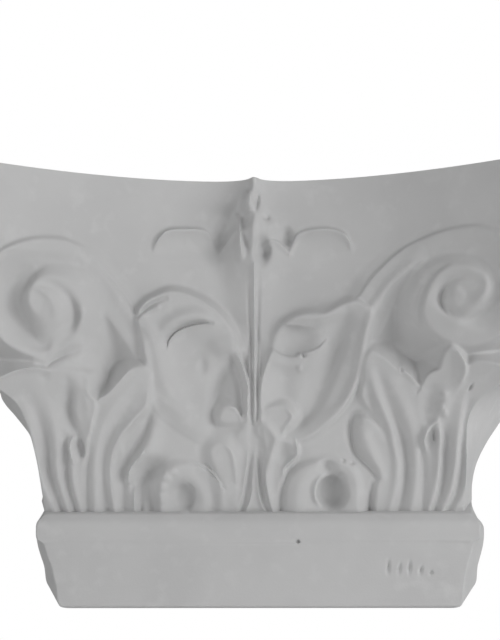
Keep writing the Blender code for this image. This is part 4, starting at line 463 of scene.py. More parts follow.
def second_leaves(face):
    """The fluted leaf of the lower ring that stands under each stem."""
    edges = {LEFT: [(84, 40), (83, 60), (82, 76), (80, 92), (78, 103), (72, 108), (66.5, 114), (62, 119),
                    (56, 120.5), (52.5, 117), (52.2, 104), (56, 97.5), (62, 91), (67, 85), (66, 72),
                    (66, 40)],
             RIGHT: [(83, 40), (84, 60), (84, 76), (83, 92), (82, 103), (81.5, 109), (79, 113), (76, 116),
                     (72.5, 118.3), (70, 118.8), (66, 122.5), (62, 125.5), (57, 127.5), (54.5, 121),
                     (54, 112), (54, 104), (60, 96), (64, 88), (68, 78), (68, 60), (66, 40)]}
    for side in BOTH:
        face.leaf(side, edges[side], ((72, 62), (62, 120)), 5.4, 8.4, rim=0.3, wall=1.4, soft=1.4)
    # the rib along its inner edge, the flute beside it, and the broad rib outside
    face.rib(LEFT, [(69.5, 47, 3.4, 1.4), (71.5, 60, 3.4, 1.8), (72, 70, 3.4, 2.2), (70, 79, 3.2, 2.4),
                    (65.2, 87.2, 3.0, 2.4), (58.8, 95, 2.8, 2.2), (54.4, 99.5, 2.4, 1.6),
                    (52.6, 106, 2.0, 0.8)], sharp=IN, crisp=1.2)
    face.rib(LEFT, [(74, 47, 2.6, -1.4), (76, 62, 2.8, -1.8), (75.5, 76, 3.0, -1.8), (71.5, 89, 3.0, -1.6),
                    (64, 100, 3.0, -1.2), (58, 109, 3.0, -0.6)])
    face.rib(LEFT, [(80, 47, 2.8, 1.6), (79.5, 62, 3.0, 1.8), (78.5, 76, 3.0, 1.8), (75.5, 88, 3.2, 1.6),
                    (70, 100, 3.4, 1.4), (63, 110, 3.4, 1.0), (57, 117, 3.0, 0.6)])
    face.rib(RIGHT, [(66.5, 47, 3.0, 1.2), (69.5, 58, 3.0, 1.6), (70.8, 68, 3.0, 2.0), (70, 77, 3.0, 2.2),
                     (67.4, 87, 3.0, 2.2), (63, 98, 2.8, 2.0), (59.5, 108, 2.6, 1.4), (57.5, 118, 2.4, 0.8)])
    face.rib(RIGHT, [(71.5, 47, 2.4, -1.4), (74.6, 60, 2.6, -1.8), (75.2, 72, 2.6, -2.0),
                     (73.5, 84, 2.8, -2.0), (69.5, 96, 2.8, -1.6), (65, 107, 2.8, -1.0),
                     (61, 117, 2.6, -0.4)], sharp=OUT, crisp=1.8)
    face.rib(RIGHT, [(77.5, 47, 2.4, 1.2), (79.5, 60, 2.6, 1.4), (80, 74, 2.8, 1.4), (78, 88, 3.0, 1.2),
                     (73.5, 101, 3.0, 1.0), (67, 113, 3.0, 0.8)])


def corner_leaves(face):
    """The leaf of the lower ring that turns each corner: ribs at its foot, lobes curling out at its top."""
    edges = {LEFT: [(84, 40), (84, 70), (82.5, 84), (80, 93), (78, 100), (78.4, 104), (81, 108), (81, 114),
                    (83, 118), (92, 119.5), (100.5, 119.4), (107, 120.5), (114.5, 119), (122, 115.5),
                    (134, 112), (130, 90), (120, 60), (120, 40)],
             RIGHT: [(84, 40), (84, 70), (83.5, 90), (83, 104), (81.5, 109), (83, 114), (86, 117),
                     (90, 119), (91, 122.5), (92.5, 127), (95.5, 129), (98.5, 126.5), (100.8, 123),
                     (102, 120.3), (106, 122), (111.5, 121.8), (118, 120.4), (134, 118), (130, 90),
                     (120, 60), (120, 40)]}
    for side in BOTH:
        face.leaf(side, edges[side], ((95, 60), (100, 120)), 5.6, 8.4, rim=0.3, wall=1.6, soft=1.6)
    ribs = {LEFT: ([(86.5, 46, 2.4, 1.4), (90, 60, 2.4, 1.6), (91, 70, 2.2, 1.5), (90.6, 76, 2.0, 0.8)],
                   [(92.6, 46, 2.8, 1.4), (96.8, 60, 3.0, 1.8), (98.2, 70, 3.2, 2.0), (97.6, 81, 3.4, 1.8),
                    (98.6, 92, 3.6, 1.0), (100, 102, 3.8, 0.4)],
                   [(98.8, 46, 3.0, 1.4), (104.8, 60, 3.2, 1.8), (107, 70, 3.2, 2.2), (108, 80, 3.2, 2.2),
                    (109, 89, 3.2, 1.8), (111, 100, 3.0, 0.8)]),
            RIGHT: ([(85.5, 46, 2.2, 1.2), (89.2, 58, 2.4, 1.6), (91, 70, 2.4, 1.8), (91.2, 82, 2.2, 1.6),
                     (90.4, 91, 2.2, 1.0)],
                    [(92, 46, 2.6, 1.2), (97, 58, 2.8, 1.6), (99, 70, 3.0, 1.8), (99.8, 82, 3.2, 1.8),
                     (100.6, 93, 3.4, 1.2), (102.5, 104, 3.4, 0.6)],
                    [(98, 46, 2.0, 0.8), (103.5, 58, 2.2, 1.2), (105.5, 70, 2.2, 1.4), (105.5, 82, 2.2, 1.2),
                     (106.5, 94, 2.4, 0.8)])}
    grooves = {LEFT: ([(89.6, 46, 1.6, -1.0), (93.4, 60, 1.8, -1.6), (94.6, 70, 1.9, -1.8),
                       (94, 80, 2.0, -1.6), (94.4, 88, 2.4, -0.8)],
                      [(96, 46, 1.8, -1.2), (101, 60, 2.4, -1.8), (103.8, 70, 2.8, -2.2),
                       (104.4, 80, 3.0, -2.2), (105.4, 90, 3.4, -1.8), (108.5, 102, 3.6, -1.0),
                       (112, 110, 3.6, -0.2)]),
               RIGHT: ([(88.6, 46, 1.6, -1.0), (92.8, 58, 1.8, -1.6), (94.6, 70, 2.0, -2.0),
                        (94.6, 80, 2.0, -1.8), (94.6, 89, 2.2, -1.0)],
                       [(95.5, 46, 1.6, -1.0), (101, 58, 1.8, -1.4), (103, 70, 1.9, -1.8),
                        (103, 80, 2.0, -1.8), (103.4, 91, 2.2, -1.4), (104.5, 102, 2.4, -0.8)])}
    for side in BOTH:
        for crest in ribs[side]:
            face.rib(side, crest, sharp=-side, crisp=1.5)
        for groove in grooves[side]:
            face.rib(side, groove)
        face.rib(side, [(83.8, 46, 1.4, -1.0), (84.2, 58, 1.5, -1.3), (84, 70, 1.5, -1.4),
                        (82.6, 80, 1.5, -0.8)])
    # the left one's inner lobe, and the hollow behind it
    face.rib(LEFT, [(83, 84, 2.0, 0.6), (82, 93, 2.4, 1.0), (82, 102, 2.8, 1.2), (84.5, 111, 2.8, 0.8),
                    (88, 117, 2.8, 0.2)])
    face.rib(LEFT, [(87.4, 86, 2.0, -1.6), (90.2, 92, 3.0, -3.4), (92, 98, 4.2, -4.6), (91.6, 105, 4.4, -4.2),
                    (91, 112, 3.2, -1.2)], sharp=IN, crisp=2.2)
    face.rib(LEFT, [(99, 121.8, 1.6, -0.8), (95, 125, 1.8, -1.2), (90, 128.5, 2.0, -0.6)])
    face.spot(LEFT, 104.5, 123.6, 3.2, 1.4, 1.8, turn=-8)
    face.spot(LEFT, 102, 115.6, 2.4, 1.8, -0.8)
    # the right one's two inner lobes one behind the other
    face.rib(RIGHT, [(85.4, 94, 2.6, -1.2), (86.6, 101, 3.4, -2.0), (86.4, 108, 3.4, -1.4)])
    face.rib(RIGHT, [(90, 94, 2.2, 0.8), (92.4, 99, 2.6, 1.4), (93, 105, 2.6, 1.2), (92.6, 110, 2.6, 0.4)])
    face.rib(RIGHT, [(99.4, 110, 3.4, 0.8), (101, 115, 3.6, 1.8), (101, 120, 3.2, 1.8), (98, 126, 2.4, 1.0)],
             sharp=OUT, crisp=1.2)


def drilled_eyes(face):
    """The drilled eye with a curled rim, between the corner leaf and the second leaf."""
    for side, x, z, depth in ((LEFT, 87.4, 80.8, 1.6), (RIGHT, 87.2, 85.5, 0.7)):
        face.spot(side, x, z, 2.4, 5.0, -depth)
        face.rib(side, [(x + 2.6, z - 7, 1.4, 0.5), (x + 4.0, z - 1, 1.5, 1.2), (x + 3.2, z + 4, 1.4, 0.8)])
        face.rib(side, [(x - 2, z - 8, 1.6, 0.4), (x - 3.8, z - 2, 1.8, 1.0), (x - 2.8, z + 5, 1.8, 0.8)])


def hoods(face):
    """The leaf that bends down over each snail curl to a point."""
    face.rib(LEFT, [(66, 50, 2.4, -1.8), (66.6, 62, 2.6, -2.4), (65.6, 70.5, 2.8, -3.2),
                    (60.4, 79, 3.0, -3.6), (56, 86, 2.6, -3.2), (54, 92, 2.0, -1.8), (53, 97, 1.6, -0.6)])
    face.rib(LEFT, [(63.5, 64.5, 2.2, 1.4), (62.4, 69, 3.4, 2.2), (59, 74.5, 4.4, 2.6),
                    (54.5, 80.5, 5.0, 2.6), (51.5, 87, 4.4, 2.2), (49, 92, 3.2, 1.2)])
    face.rib(LEFT, [(61, 61, 2.2, -2.0), (57.6, 67.5, 4.0, -3.4), (53, 71, 4.0, -3.2), (48, 73, 3.0, -1.6),
                    (42, 74, 2.0, -0.4)])
    face.leaf(RIGHT, [(51.5, 94.5), (55, 94.8), (60, 91.8), (64, 87.5), (68, 80), (70, 70), (68, 56),
                      (64, 40), (60, 40), (60.5, 58), (61.5, 66), (58, 71.5), (53.5, 76), (51.2, 82),
                      (50.6, 89)], ((62, 60), (56, 94)), 6.4, 8.0, rim=0.4, wall=1.5, soft=1.4)
    face.rib(RIGHT, [(61.2, 65.5, 1.3, -1.8), (58.6, 69.6, 1.6, -2.2), (54.8, 73.6, 1.9, -2.4),
                     (50.8, 78.4, 2.2, -2.6), (49.2, 84.5, 2.4, -2.8), (49.2, 91, 2.8, -3.2),
                     (50.6, 95.4, 2.4, -2.8), (53.6, 96.8, 1.6, -1.0)])
    face.rib(RIGHT, [(66, 86, 2.2, -1.0), (63.6, 91.5, 2.4, -2.2), (60.5, 97.5, 2.6, -2.4),
                     (57.5, 104, 2.4, -1.6), (55.5, 111, 2.0, -0.8)])
    face.rib(RIGHT, [(62.5, 66, 2.4, 0.8), (58.5, 76, 3.0, 1.2), (54.8, 86, 2.6, 0.8)])


def snail_curls(face):
    """The curl under each hood: a fat ring, falling away outside, round a drilled hole."""
    face.leaf(LEFT, [(46, 40), (47.2, 50), (47.6, 58), (46.6, 65), (43.5, 69), (38, 71.4), (30, 71.8),
                     (24, 69), (20, 65), (16.8, 60.5), (15.6, 50), (15.6, 40)],
              ((20, 56), (46, 58)), 6.0, 8.8, rim=0.2, wall=0.75, soft=1.6)
    face.leaf(RIGHT, [(50, 40), (51, 52), (51, 62), (48.5, 69), (42, 73), (34, 73.5), (26, 71.5), (20, 67.5),
                      (16.4, 61), (15.4, 50), (15.4, 40)], ((18, 58), (46, 58)), 7.4, 8.2, rim=0.0, wall=0.7,
              soft=2.0)
    face.rib(RIGHT, [(20.5, 46, 4.0, 1.0), (21, 58, 4.0, 1.2), (24.5, 66, 3.6, 1.0), (31, 70, 3.0, 0.4)])
    face.rib(LEFT, [(58.2, 46, 2.2, -1.8), (58.2, 54, 2.4, -2.2), (57.6, 62, 2.6, -2.2), (55, 68, 3.0, -1.6)],
             sharp=OUT, crisp=0.9)
    face.rib(RIGHT, [(57.6, 46, 2.0, -2.2), (58.2, 54, 1.9, -2.4), (59.6, 62, 1.5, -1.4)], sharp=OUT,
             crisp=0.9)
    face.rib(LEFT, [(20.6, 46, 2.8, -1.4), (21, 55, 3.0, -1.6), (24, 62, 3.0, -1.2), (29, 67, 2.6, -0.6)])
    face.rib(RIGHT, [(12.4, 46, 2.6, -1.2), (12.6, 58, 2.4, -1.5), (14.8, 66, 2.0, -1.6),
                     (19, 70.6, 1.8, -1.5), (25, 73.4, 1.7, -1.0), (32, 75, 1.8, -0.5)])
    face.spot(LEFT, 37.4, 55, 9.0, 9.0, -4.2)
    face.spot(RIGHT, 37.6, 58.6, 9.0, 9.6, -3.4)
    face.spot(RIGHT, 36.4, 70.2, 4.0, 3.6, -2.2)


def middle_lobes(face):
    """The small lobes one over the other beside the middle, and the wedge between them at the foot."""
    # the upper lobe on the left, small and set in a pocket, and the broader one on the right
    face.rib(LEFT, [(24, 100, 3.0, -0.6), (21, 96.5, 3.6, -1.4), (19.5, 91, 3.0, -1.0), (14, 90.5, 2.0, -1.0),
                    (8, 91, 1.6, -0.8)])
    face.leaf(LEFT, [(17.2, 93.4), (16.8, 97.4), (15, 100.2), (12.5, 101), (9.4, 99.6), (7.4, 96.6),
                     (6.6, 93.2), (11, 92.6)], ((12, 90), (12, 101)), 5.8, 7.4, rim=0.2, wall=1.1, soft=2.0)
    face.leaf(RIGHT, [(1.2, 92), (3, 96.5), (6, 99.6), (10.5, 101), (15, 100.4), (18.6, 96.4), (17.6, 92.6),
                      (15, 89.4), (13, 86), (8, 84), (2, 86)], ((8, 82), (14, 101)), 6.4, 8.4, rim=0.3,
              wall=1.2, soft=1.4)
    # the lower lobes, long ones that run down to the foot
    face.rib(LEFT, [(16.8, 62, 2.0, -0.6), (19, 67, 3.0, -1.2), (22, 73, 3.8, -1.7), (24, 79, 3.8, -1.6),
                    (24.5, 84, 3.0, -0.6)])
    face.leaf(LEFT, [(21.8, 79), (19, 81.8), (14.5, 81.8), (11.6, 78.6), (10.2, 73), (9.2, 64), (9.6, 52),
                     (11, 40), (17, 40), (17.4, 60), (19, 68), (21.2, 74)], ((13, 47), (15, 82)), 6.4, 8.0,
              wall=0.6, soft=2.4)
    face.leaf(RIGHT, [(4, 92), (8, 90), (11.5, 85.5), (16.5, 83.4), (20.4, 81.4), (21.2, 78.4), (20.4, 75.8),
                      (17, 73), (14.2, 70.4), (13.2, 64), (11, 56), (10.4, 40), (6, 40), (5.6, 56), (5, 66),
                      (5.4, 78)], ((8, 47), (14, 84)), 5.8, 7.6, wall=1.2, rim=0.2)
    face.rib(RIGHT, [(8.8, 46, 2.0, 1.0), (6.8, 57, 2.2, 1.6), (6, 66, 2.2, 1.8), (7.4, 74, 2.2, 1.9),
                     (9.8, 81, 2.2, 1.8), (10.2, 85.4, 2.2, 1.6), (6.4, 91, 2.4, 1.0)])
    face.spot(RIGHT, 14.4, 78.4, 3.8, 4.4, -1.8)
    for side in BOTH:
        face.rib(side, [(8.0, 46, 1.3, -1.0), (5.4, 54, 1.2, -1.2), (3.5, 63, 1.1, -1.2),
                        (2.2, 73, 1.0, -1.0), (1.2, 82, 0.9, -0.4)])


def lower_creases(face):
    """The fine lips, cuts and drill marks of the lower leaves and curls."""
    # the left corner: the curl beside the drilled eye, and the lobe's crisp inner edge
    face.rib(LEFT, [(90.4, 74, 1.2, 0.6), (91.6, 79, 1.4, 1.8), (91.2, 83, 1.3, 1.8), (89.4, 86.8, 1.1, 0.6)],
             sharp=IN, crisp=0.9)
    face.spot(LEFT, 87.0, 80.4, 1.9, 4.4, -1.3, turn=-8, steep=3.0)
    face.rib(LEFT, [(82.6, 84, 1.3, 0.4), (80.6, 92.5, 1.5, 0.8), (79, 98.5, 1.5, 0.9), (79, 104.3, 1.5, 0.9),
                    (81.3, 108.5, 1.6, 0.9), (81.5, 114, 1.6, 0.6)], sharp=IN, crisp=0.5)
    face.rib(LEFT, [(122, 115.4, 1.4, 0.6), (114.5, 118.4, 1.6, 0.9), (107, 120, 1.6, 0.9),
                    (100.5, 119.2, 1.4, 0.3)], sharp=OUT, crisp=0.6)
    face.rib(LEFT, [(100.6, 120.8, 0.9, -0.8), (98.5, 123.3, 1.0, -1.2), (93, 126.8, 1.0, -0.4)])
    face.rib(LEFT, [(77, 104.6, 1.2, 0.6), (72, 108, 1.5, 0.9), (66.5, 113.8, 1.5, 0.9),
                    (62, 118.4, 1.4, 0.6)], sharp=OUT, crisp=0.6)
    # the right corner
    face.rib(RIGHT, [(84.4, 80, 1.3, 0.6), (83.4, 83.4, 1.5, 1.8), (84.6, 87.4, 1.5, 1.9),
                     (87, 91.2, 1.4, 1.5), (89.6, 94, 1.2, 0.6)], sharp=OUT, crisp=1.0)
    face.spot(RIGHT, 88.9, 86, 0.7, 3.4, -1.5, turn=4)
    face.rib(RIGHT, [(100.6, 113, 1.6, 0.4), (101.6, 117, 1.6, 0.8), (101, 121.6, 1.4, 1.0),
                     (98.5, 126, 1.2, 0.6)], sharp=OUT, crisp=0.5)
    face.rib(RIGHT, [(80.8, 108.6, 2.2, -0.6), (82.6, 114, 3.0, -1.6), (85.6, 117.6, 3.0, -1.8),
                     (89.2, 119.4, 3.0, -1.8), (90.2, 123, 3.0, -1.8), (91.6, 127, 2.6, -1.4),
                     (94, 129.6, 2.0, -0.4)], sharp=OUT, crisp=0.6)
    face.spot(RIGHT, 104.9, 109.8, 0.7, 1.8, -1.2, turn=-24)
    face.spot(RIGHT, 72.2, 118.6, 0.8, 1.1, -1.0)
    face.spot(RIGHT, 92.2, 105.5, 2.0, 2.2, 0.9)
    face.spot(RIGHT, 90.8, 100.4, 1.7, 1.8, 0.9)
    face.spot(RIGHT, 93.4, 97, 1.6, 1.8, 0.7)
    face.rib(RIGHT, [(82, 109.6, 1.3, 0.5), (78.6, 113.2, 1.4, 0.8), (74.6, 117, 1.3, 0.5)], sharp=OUT,
             crisp=0.6)
    # the hoods' points, the rings' edges and the thin ribs at the foot
    face.rib(LEFT, [(63.6, 63.5, 0.9, 0.4), (62.6, 69, 1.1, 1.7), (59.6, 73.4, 1.2, 1.7),
                    (55.8, 78, 1.2, 0.8)], sharp=IN, crisp=0.5)
    face.rib(LEFT, [(60.2, 46, 0.9, 0.9), (60.6, 55, 1.0, 1.1), (60.6, 62.5, 0.7, 0.3)])
    face.rib(LEFT, [(16.4, 60.6, 1.6, -0.5), (19.8, 64.8, 2.4, -0.9), (23.6, 68.8, 2.6, -1.0),
                    (28, 71.6, 2.2, -0.7), (32, 72.4, 1.6, -0.2)], sharp=OUT, crisp=0.5)
    face.rib(LEFT, [(33.2, 49, 1.6, -0.6), (31, 54, 1.8, -1.2), (31, 59, 1.8, -1.0), (33, 62, 1.4, -0.4)],
             sharp=IN, crisp=0.5)
    for x, z, size, height in ((44.2, 65.8, 2.4, 1.0), (46, 61, 2.2, 0.7), (40.8, 68.4, 2.0, 0.7),
                               (45.6, 55, 2.6, 0.6)):
        face.spot(LEFT, x, z, size, size, height)
    face.spot(LEFT, 36, 55, 5.0, 6.4, -2.0, turn=-12, steep=2.5)
    face.spot(RIGHT, 38.6, 57.8, 7.0, 8.0, -5.0, steep=3.5)
    face.spot(RIGHT, 40.8, 65.2, 3.6, 3.2, -1.3, steep=1.8)
    face.spot(RIGHT, 36, 71.2, 3.0, 2.8, -1.0, steep=1.4)
    face.spot(RIGHT, 43, 66, 1.4, 1.4, -0.6)
    face.spot(RIGHT, 44, 73.6, 1.0, 0.9, -1.1)
    face.spot(RIGHT, 48.5, 72.6, 1.5, 1.0, -1.0)
    # the middle lobes' lips
    face.rib(LEFT, [(6.6, 93.6, 1.2, 0.2), (7.6, 97, 1.3, 0.8), (9.6, 99.8, 1.3, 0.8), (12.6, 101, 1.2, 0.4)],
             sharp=IN, crisp=0.5)
    face.rib(LEFT, [(9.2, 64, 1.3, 0.5), (10.2, 73, 1.4, 0.7), (11.8, 78.4, 1.4, 0.7),
                    (14.4, 81.4, 1.2, 0.3)], sharp=IN, crisp=0.5)
    face.rib(RIGHT, [(14, 87, 1.2, 0.4), (15.4, 90, 1.4, 0.8), (18, 93.4, 1.4, 0.9), (18.6, 96.4, 1.3, 0.8),
                     (16, 99.6, 1.1, 0.3)], sharp=OUT, crisp=0.5)
    face.rib(RIGHT, [(13.8, 66, 0.9, 0.4), (15, 70.6, 1.1, 1.3), (18, 73.6, 1.2, 1.6), (20.8, 76.4, 1.2, 1.6),
                     (21.2, 79.8, 1.2, 1.5), (20.4, 84, 1.0, 0.5)], sharp=OUT, crisp=0.5)
    face.rib(RIGHT, [(13.9, 62.5, 0.9, 0.3), (15.2, 67.4, 1.0, 0.9), (18, 71, 1.0, 0.9),
                     (21.6, 73.6, 0.9, 0.2)], sharp=OUT, crisp=0.5)
    for side in BOTH:
        face.rib(side, [(9, 47, 1.4, 0.5), (6.6, 55.5, 1.4, 0.8), (5, 65, 1.3, 0.8), (4, 72, 1.2, 0.6),
                        (3.4, 78, 1.1, 0.2)], sharp=IN, crisp=0.45)
        face.rib(side, [(5.6, 47.5, 1.6, 0.5), (3.4, 52, 1.4, 0.8), (1.7, 58.5, 1.2, 0.9),
                        (1.2, 67, 1.0, 0.7), (0.6, 77, 0.8, 0.2)], sharp=OUT, crisp=0.45)


def stalk_and_bud(face):
    """The thin stalk up the middle, and the worn bud where it meets the rib of the top field."""
    face.roll(RIGHT, [(0, 138, 1.6, 1.6), (0, 128, 2.2, 5.0), (0, 118, 2.4, 7.0), (0, 105, 2.4, 7.6),
                      (0, 96, 2.4, 6.8), (0, 86, 2.2, 4.0)], crown=0.2, wall=1.2, soft=1.6)
    for side in BOTH:
        face.rib(side, [(1.5, 92, 0.8, -0.5), (1.4, 105, 0.8, -0.9), (1.5, 125, 0.9, -1.0),
                        (1.8, 142, 1.0, -1.0), (2.2, 158, 1.2, -0.7), (2.4, 170, 1.4, -0.2)])
    face.rib(RIGHT, [(0, 94, 0.7, 0.6), (0, 125, 0.7, 0.9), (0, 150, 0.8, 1.0), (0.2, 172, 0.9, 0.8)])
    for x, z, half_wide, half_high, height in ((-3, 203, 3.2, 5.0, 3.0), (-4.5, 190, 2.8, 5.5, 2.2),
                                               (-7, 180, 2.8, 5.5, 2.6), (3.5, 196, 3.4, 6.5, 2.0),
                                               (6, 187, 3.4, 5.5, 2.0), (0, 186, 2.8, 6.5, 2.4)):
        face.spot(RIGHT, x, z, half_wide, half_high, height)
    face.spot(RIGHT, 4, 177, 3.8, 6.0, -2.4)
    face.spot(LEFT, 16.5, 187, 3.5, 6.5, -1.2)


def deep_floors(face):
    """The deepest places: the left scroll's floor, the shadows round the bands, and inside the calyx."""
    face.rib(LEFT, [(108, 137, 3.4, -0.6), (114, 141, 4.4, -2.6), (118.4, 149, 4.8, -4.2),
                    (117.2, 158, 4.8, -4.2), (111.5, 165, 4.2, -2.6), (105, 168.5, 3.4, -0.6)], sharp=OUT,
             crisp=2.6)
    face.rib(LEFT, [(84, 132, 2.0, -0.3), (89, 128.5, 2.4, -1.2), (96, 126, 2.4, -1.2),
                    (104, 125, 2.0, -0.3)])
    face.rib(RIGHT, [(80.6, 140, 1.6, -0.3), (80.2, 148, 2.2, -2.0), (82.4, 157, 2.4, -2.6),
                     (87, 164.5, 2.2, -1.8), (93, 168.5, 1.6, -0.2)], sharp=OUT, crisp=1.2)
    face.rib(RIGHT, [(93, 144.6, 1.0, -0.3), (91.4, 148.3, 1.5, -1.3), (90.6, 151.9, 1.5, -1.8),
                     (91.4, 155.6, 1.5, -1.5), (94, 159.2, 1.0, -0.4)], sharp=OUT, crisp=0.8)
    face.rib(LEFT, [(6.6, 98, 2.4, -1.4), (6.4, 106, 2.8, -3.0), (7.2, 113, 3.0, -3.2), (9.8, 120, 2.8, -2.2),
                    (12.5, 126, 2.2, -0.4)], sharp=IN, crisp=1.0)
    face.rib(LEFT, [(50, 47, 4.0, -2.0), (53, 56, 4.2, -2.8), (53, 64, 4.0, -2.6), (49, 71, 3.2, -1.0)])


def crisp_rims(face):
    """The edges that still stand crisp beside the stalk and round the curls."""
    face.rib(LEFT, [(3.9, 95, 0.8, 0.3), (3.3, 104, 0.9, 1.2), (3.3, 112, 0.9, 1.3), (5.6, 120, 0.9, 1.3),
                    (8.4, 128, 0.8, 0.5)], sharp=IN, crisp=0.45)
    face.rib(LEFT, [(17, 61.5, 0.8, 0.4), (21.2, 67.8, 1.2, 1.8), (26.2, 71.8, 1.2, 1.4),
                    (30, 73.4, 0.8, 0.2)], sharp=IN, crisp=0.5)
    face.rib(RIGHT, [(33.2, 50.5, 1.2, 0.4), (30.2, 55.5, 1.6, 1.9), (30.4, 61.6, 1.6, 2.1),
                     (33.4, 66.4, 1.2, 0.8)], sharp=OUT, crisp=1.6)


def bud(face):
    """The worn bud on the middle rib: beads one over the other, with drilled hollows round them."""
    face.rib(LEFT, [(5.5, 208, 3.0, -0.8), (8.6, 200, 4.2, -2.2), (12.2, 192.5, 4.8, -3.0),
                    (15.4, 186, 4.4, -2.4), (16.8, 179, 3.2, -0.8)])
    for side, x, z, half_wide, half_high, height in (
            (LEFT, 2.6, 203.6, 2.0, 5.0, 3.2), (LEFT, 4.3, 194.0, 1.8, 4.5, -2.6),
            (RIGHT, 6.0, 196, 1.8, 1.8, -1.8), (RIGHT, 9.2, 191, 2.6, 3.8, 1.4),
            (RIGHT, 4.3, 180.3, 3.6, 5.4, -3.6), (RIGHT, 16.4, 186.4, 3.0, 4.4, -2.8)):
        face.spot(side, x, z, half_wide, half_high, height)
    face.rib(LEFT, [(6.2, 175, 1.6, 0.6), (6.6, 181, 2.0, 3.0), (7.6, 190, 2.4, 2.8), (8.4, 197, 2.0, 1.0)],
             sharp=IN, crisp=1.4)
    face.rib(RIGHT, [(1.2, 198, 0.9, -0.6), (1.5, 203, 1.2, -2.0), (2.4, 207.4, 0.9, -1.4),
                     (4.0, 208, 0.8, -0.3)])
    face.rib(RIGHT, [(0.4, 206, 1.8, 0.6), (0.6, 210, 2.4, 1.8), (0.6, 217, 2.6, 2.4)])


def rubbed_joints(face):
    """The joints that the carver rubbed smooth, such as where the stem runs into the scroll."""
    for x, z, reach, size in RUBBED:
        before = face.front.copy()
        face.rub(size)
        share = sum(np.exp(-(((face.x * side - x)**2 + (face.z - z)**2) / reach**2)**2) for side in BOTH)
        face.front = before + share * (face.front - before)


def mass(face):
    """The blocks that the leaves are cut from, without their edges."""
    for side in BOTH:
        face.leaf(side, [(-6, 40), (60, 40), (120, 40), (118, 92), (100, 104), (88, 96), (78, 98), (64, 106),
                         (52, 108), (40, 100), (20, 92), (-6, 92)], ((0, 40), (0, 90)), 5.6, 5.6,
                  wall=0.7, soft=3.0)
        face.leaf(side, [(-3, 84), (24, 82), (40, 90), (50, 102), (54, 120), (56, 146), (44, 150), (24, 146),
                         (8, 132), (-3, 108)], ((0, 84), (0, 150)), 4.4, 3.2, wall=0.6, soft=3.0)


def carved(x, z, bell):
    """The distance from the wall of each point of the carved face, in sheet millimetres."""
    face = Face(x, z, bell)
    for form in (mass, hollows, fans, stems, scrolls, calyxes, second_leaves, corner_leaves, drilled_eyes,
                 snail_curls, hoods, middle_lobes):
        form(face)
    face.rub(WORN)
    for form in (fan_rims, band_lines, calyx_creases, lower_creases, stalk_and_bud, deep_floors,
                 rubbed_joints, crisp_rims, bud):
        form(face)
    return face.front


def above_moulding(z):
    """A height of the part as a height on the sheet."""
    share = (z - MOULDING_HEIGHT) / (HEIGHT - MOULDING_HEIGHT)
    return SHEET_FOOT + share * (SHEET_HEIGHT - SHEET_FOOT)


def half_width(z, outline):
    """Half the width of the carved part at each height, in metres, along one of the outlines."""
    share = (sheet_half(above_moulding(z), outline) - SHEET_NECK_HALF) / (SHEET_TOP_HALF - SHEET_NECK_HALF)
    return 0.5 * (NECK_WIDTH + share * (TOP_WIDTH - NECK_WIDTH))


def wall_width(z, outline):
    """Half the width at the wall at each height of the carved part, in metres."""
    return half_width(z, outline) + np.interp(z, (MOULDING_HEIGHT, HEIGHT), (NECK_SPREAD, TOP_SPREAD))


def bell_front(across, z):
    """The plain bell behind the carving, hollow across and leaning out, with its arris up the middle."""
    high = above_moulding(z)
    up = np.clip((high - SHEET_FOOT) / (BELL_LEANS_TO - SHEET_FOOT), 0, 1)
    off = np.abs(across) * SHEET_TOP_HALF
    middle = NECK_REACH + (MIDDLE_REACH - NECK_REACH) * up**1.5
    corner = (HORN_REACH - MIDDLE_REACH) * up**1.3 * across**2
    rib = RIB_REACH * np.exp(-off / ARRIS_HALF) * ease(*ARRIS_HEIGHTS, high)
    lip = LIP_REACH * ease(*LIP_HEIGHTS, high - LIP_RISE * off)
    return middle + corner + rib + lip


def carved_face(across, z):
    """Where the points of the carved face are, across and out from the wall, at each height in metres."""
    high, wide = np.meshgrid(above_moulding(z), across, indexing="ij")
    sheet_x = both_halves(wide, *(sheet_half(high[:, :1], ARRIS_OUTLINE[side]) for side in BOTH))
    x = both_halves(wide, *(half_width(z, ARRIS_OUTLINE[side])[:, None] for side in BOTH))
    scale = CARVING_DEPTH / SHEET_DEPTH
    bell = bell_front(2 * x / TOP_WIDTH, z[:, None])
    return x, scale * carved(sheet_x, high, bell / scale)


# The moulding's outline from its underside up: share of its height, how far in from the bead's front,
# how far in from the bead's end, and how much more its sides spread there, in metres
MOULDING_ROWS = ((0.000, MOULDING_FOOT_IN, 0.0130, 0.0060), (0.026, 0.0054, 0.0104, 0.0044),
                 (0.088, 0.0049, 0.0091, 0.0040), (0.229, 0.0044, 0.0085, 0.0042),
                 (0.352, 0.0035, 0.0075, 0.0050), (0.462, 0.0026, 0.0066, 0.0056),
                 (0.571, 0.0017, 0.0049, 0.0048), (0.668, 0.0010, 0.0037, 0.0038),
                 (0.708, 0.0007, 0.0028, 0.0025), (0.747, 0.0003, 0.0003, -0.0010),
                 (0.835, 0.0, 0.0, -0.0046), (0.923, 0.0005, 0.0005, -0.0056),
                 (1.000, 0.0036, 0.0036, -0.0024))


def moulding_off(share):
    """How far right of the middle the moulding lies at each share of its height."""
    return MOULDING_OFF + MOULDING_LEAN * (1 - share)


FINE_COLUMNS = 468           # across the face, from arris to arris
SIDE_COLUMNS = 14            # on each side, from the arris to the wall
MOULDING_LEVELS = 92         # rows of points up the moulding
CARVED_LEVELS = 292          # and up the carved face above it
CAST_TRIANGLES = 190000      # what the skin is thinned to
ARRIS_ROUND = 0.0011         # the arrises are rubbed to this radius
PER_METRE = 1000             # millimetres
SMOOTH_UNDER = 50.0          # degrees between faces that are shaded as one surface

